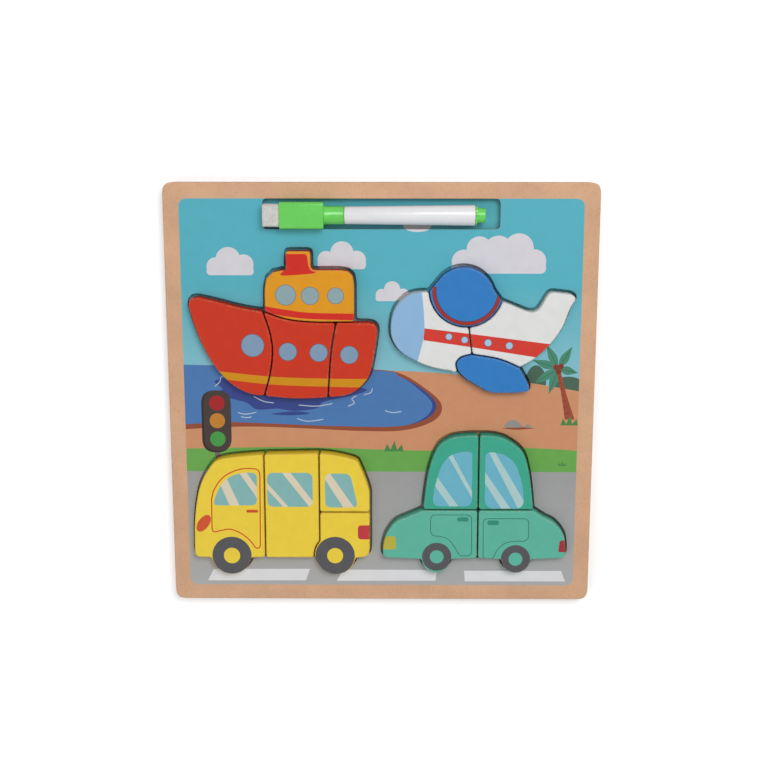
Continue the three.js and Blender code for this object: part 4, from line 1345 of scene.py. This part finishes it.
def make_felt():
    low, high, loft = loft_for("eraser_pad")
    half_width = (high.y - low.y) / 2
    half_height = (high.z - low.z) / 2
    for along, inset in quarter_round(FELT_EDGE_ROUND):
        loft.section(low.x + along, half_width - inset, half_height - inset, FELT_ROUND)
    start = low.x + FELT_EDGE_ROUND
    for step in range(1, FELT_RINGS + 1):
        loft.section(start + (high.x - start) * step / FELT_RINGS, half_width, half_height, FELT_ROUND)
    for points in loft.sections:
        for index, point in enumerate(points):
            place = Vector(point)
            tangle = noise.noise(place * FUZZ_COARSE) + noise.noise(place * FUZZ_FINE)
            dent = max(0, FELT_FUZZ * (FUZZ_SETBACK - tangle))
            inward = Vector((0, loft.y - place.y, loft.z - place.z)).normalized()
            points[index] = place + dent * inward
    pad = loft.build("felt_eraser", "felt", sharp=FELT_SHARP_EDGE)
    settle(pad, "marker_cap", "eraser_pad", "felt")


def make_barrel():
    low, high, loft = loft_for("marker_barrel")
    shoulder = low.x + SPIGOT_LENGTH
    bore_start = shoulder + NIB_SHOULDER_LENGTH
    loft.circle(low.x, NIB_BORE_RADIUS)
    loft.round_front(low.x, SPIGOT_RADIUS, BARREL_EDGE_ROUND)
    loft.circle(shoulder, SPIGOT_RADIUS)
    loft.round_front(shoulder, BARREL_FRONT_RADIUS, BARREL_EDGE_ROUND)
    loft.round_rear(high.x, BARREL_REAR_RADIUS, BARREL_EDGE_ROUND)
    loft.circle(high.x, BARREL_BORE_RADIUS)
    loft.circle(bore_start, BARREL_BORE_RADIUS)
    loft.circle(bore_start, NIB_BORE_RADIUS)
    barrel = loft.build("barrel_moulded", "marker_white", ring=True)
    settle(barrel, "marker_pen", "marker_barrel", "white_plastic")


def make_plug():
    low, high, loft = loft_for("marker_end_plug")
    collar_start = low.x + PLUG_STUB_LENGTH
    collar_end = collar_start + PLUG_COLLAR_LENGTH
    loft.circle(low.x, PLUG_STUB_RADIUS)
    loft.circle(collar_start, PLUG_STUB_RADIUS)
    loft.circle(collar_start, PLUG_COLLAR_RADIUS - PLUG_RIB_DEPTH / 2)
    loft.circle(collar_start + PLUG_RIB_END, PLUG_COLLAR_RADIUS, PLUG_RIB_DEPTH)
    loft.circle(collar_end - PLUG_RIB_END, PLUG_COLLAR_RADIUS, PLUG_RIB_DEPTH)
    loft.circle(collar_end, PLUG_COLLAR_RADIUS - PLUG_RIB_DEPTH)
    loft.circle(collar_end, PLUG_TAIL_RADIUS)
    loft.round_rear(high.x, PLUG_TAIL_RADIUS, PLUG_EDGE_ROUND)
    settle(loft.build("plug_moulded", "marker_green"), "marker_pen", "marker_end_plug", "green_plastic")


def dress_inner_pieces():
    """The nib and the ink reservoir keep their own shapes and get their fibre finish."""
    for node, colour in (("marker_nib", "ink_fibre"), ("ink_reservoir", "fibre")):
        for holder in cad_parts[node].material_slots:
            holder.material = finish_named(colour)


# Stage: white floor, soft light and the camera

FLOOR_HALF = 4
FLOOR_DROP = 0.0002
FLOOR_GREY = 0.9
FLOOR_ROUGHNESS = 0.9
FLOOR_GLOW_NEAR = 0.25
FLOOR_GLOW_FAR = 0.65
GLOW_REACH = 1.6
LIGHT_FROM_AROUND = 0.4
# Each lamp's place, width and height in metres, and its power in watts. All of them face the board.
LAMPS = {
    "softbox": ((0.35, 0.55, 1.0), 0.7, 0.5, 7),
    "fill": ((-0.7, -0.5, 0.9), 0.8, 0.8, 3),
    "bounce": ((0, 0, -1), 1.5, 1.5, 4),
}


def seen_rays(tree):
    """1 for rays from the camera, from gloss and through glass, and 0 for rays that light the object."""
    path = add_node(tree, "ShaderNodeLightPath")
    found = path.outputs["Is Camera Ray"]
    for kind in ("Is Glossy Ray", "Is Transmission Ray"):
        either = add_node(tree, "ShaderNodeMath", operation="MAXIMUM")
        tree.links.new(found, either.inputs[0])
        tree.links.new(path.outputs[kind], either.inputs[1])
        found = either.outputs[0]
    return found


def floor_paper():
    """White paper, clear from below so that the board's back can be seen and lit.

    Its glow grows away from the lamps, so that it is white all over and still keeps the board's shadow.
    """
    material, tree, shader = new_material("floor_paper")
    shader.inputs["Base Color"].default_value = (FLOOR_GREY, FLOOR_GREY, FLOOR_GREY, 1)
    shader.inputs["Roughness"].default_value = FLOOR_ROUGHNESS
    shader.inputs["Emission Color"].default_value = WHITE
    away = add_node(tree, "ShaderNodeVectorMath", operation="LENGTH")
    tree.links.new(add_node(tree, "ShaderNodeTexCoord").outputs["Object"], away.inputs[0])
    glow = ranged(tree, away.outputs["Value"], 0, GLOW_REACH, FLOOR_GLOW_NEAR, FLOOR_GLOW_FAR)
    tree.links.new(product(tree, seen_rays(tree), glow), shader.inputs["Emission Strength"])
    clear = add_node(tree, "ShaderNodeBsdfTransparent")
    sided = add_node(tree, "ShaderNodeMixShader")
    tree.links.new(add_node(tree, "ShaderNodeNewGeometry").outputs["Backfacing"], sided.inputs[0])
    tree.links.new(shader.outputs["BSDF"], sided.inputs[1])
    tree.links.new(clear.outputs["BSDF"], sided.inputs[2])
    tree.links.new(sided.outputs["Shader"], tree.nodes["Material Output"].inputs["Surface"])
    return material


def make_floor():
    mesh = bpy.data.meshes.new("floor")
    corners = [(x * FLOOR_HALF, y * FLOOR_HALF, 0) for x, y in ((-1, -1), (1, -1), (1, 1), (-1, 1))]
    mesh.from_pydata(corners, [], [(0, 1, 2, 3)])
    mesh.materials.append(floor_paper())
    floor = add_object("floor", mesh)
    floor.location.z = -FLOOR_DROP
    floor.visible_diffuse = False
    floor.visible_shadow = False
    floor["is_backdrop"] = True


def make_light():
    for name, (place, width, height, power) in LAMPS.items():
        data = bpy.data.lights.new(name, "AREA")
        data.shape = "RECTANGLE"
        data.size = width
        data.size_y = height
        data.energy = power
        lamp = add_object(name, data)
        lamp.visible_camera = False
        lamp.location = place
        lamp.rotation_euler = (-Vector(place)).to_track_quat("-Z", "Y").to_euler()
    world = bpy.data.worlds.new("studio")
    world.use_nodes = True
    bpy.context.scene.world = world
    tree = world.node_tree
    sky = tree.nodes["Background"]
    sky.inputs["Color"].default_value = WHITE
    strength = ranged(tree, seen_rays(tree), 0, 1, LIGHT_FROM_AROUND, 1)
    tree.links.new(strength, sky.inputs["Strength"])


def make_camera():
    data = bpy.data.cameras.new("camera")
    data.sensor_width = SENSOR_WIDTH
    data.lens = SENSOR_WIDTH * CAMERA_FOCUS_PIXELS / PHOTO_PIXELS
    data.clip_start = CAMERA_NEAR * MM
    camera = add_object("camera", data)
    tilt, yaw, roll = CAMERA_TURN
    turn = Matrix.Rotation(tilt, 4, "X") @ Matrix.Rotation(yaw, 4, "Y") @ Matrix.Rotation(roll, 4, "Z")
    camera.matrix_world = Matrix.Translation(Vector(CAMERA_PLACE) * MM) @ turn
    bpy.context.scene.camera = camera


make_camera()
make_board()
make_pieces()
make_cap()
make_felt()
make_barrel()
make_plug()
dress_inner_pieces()
make_floor()
make_light()
bpy.context.scene.view_settings.view_transform = "Standard"

boxes = {"cad": cad_box, "visual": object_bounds()}
{name: [list(corner) for corner in corners] for name, corners in boxes.items()}
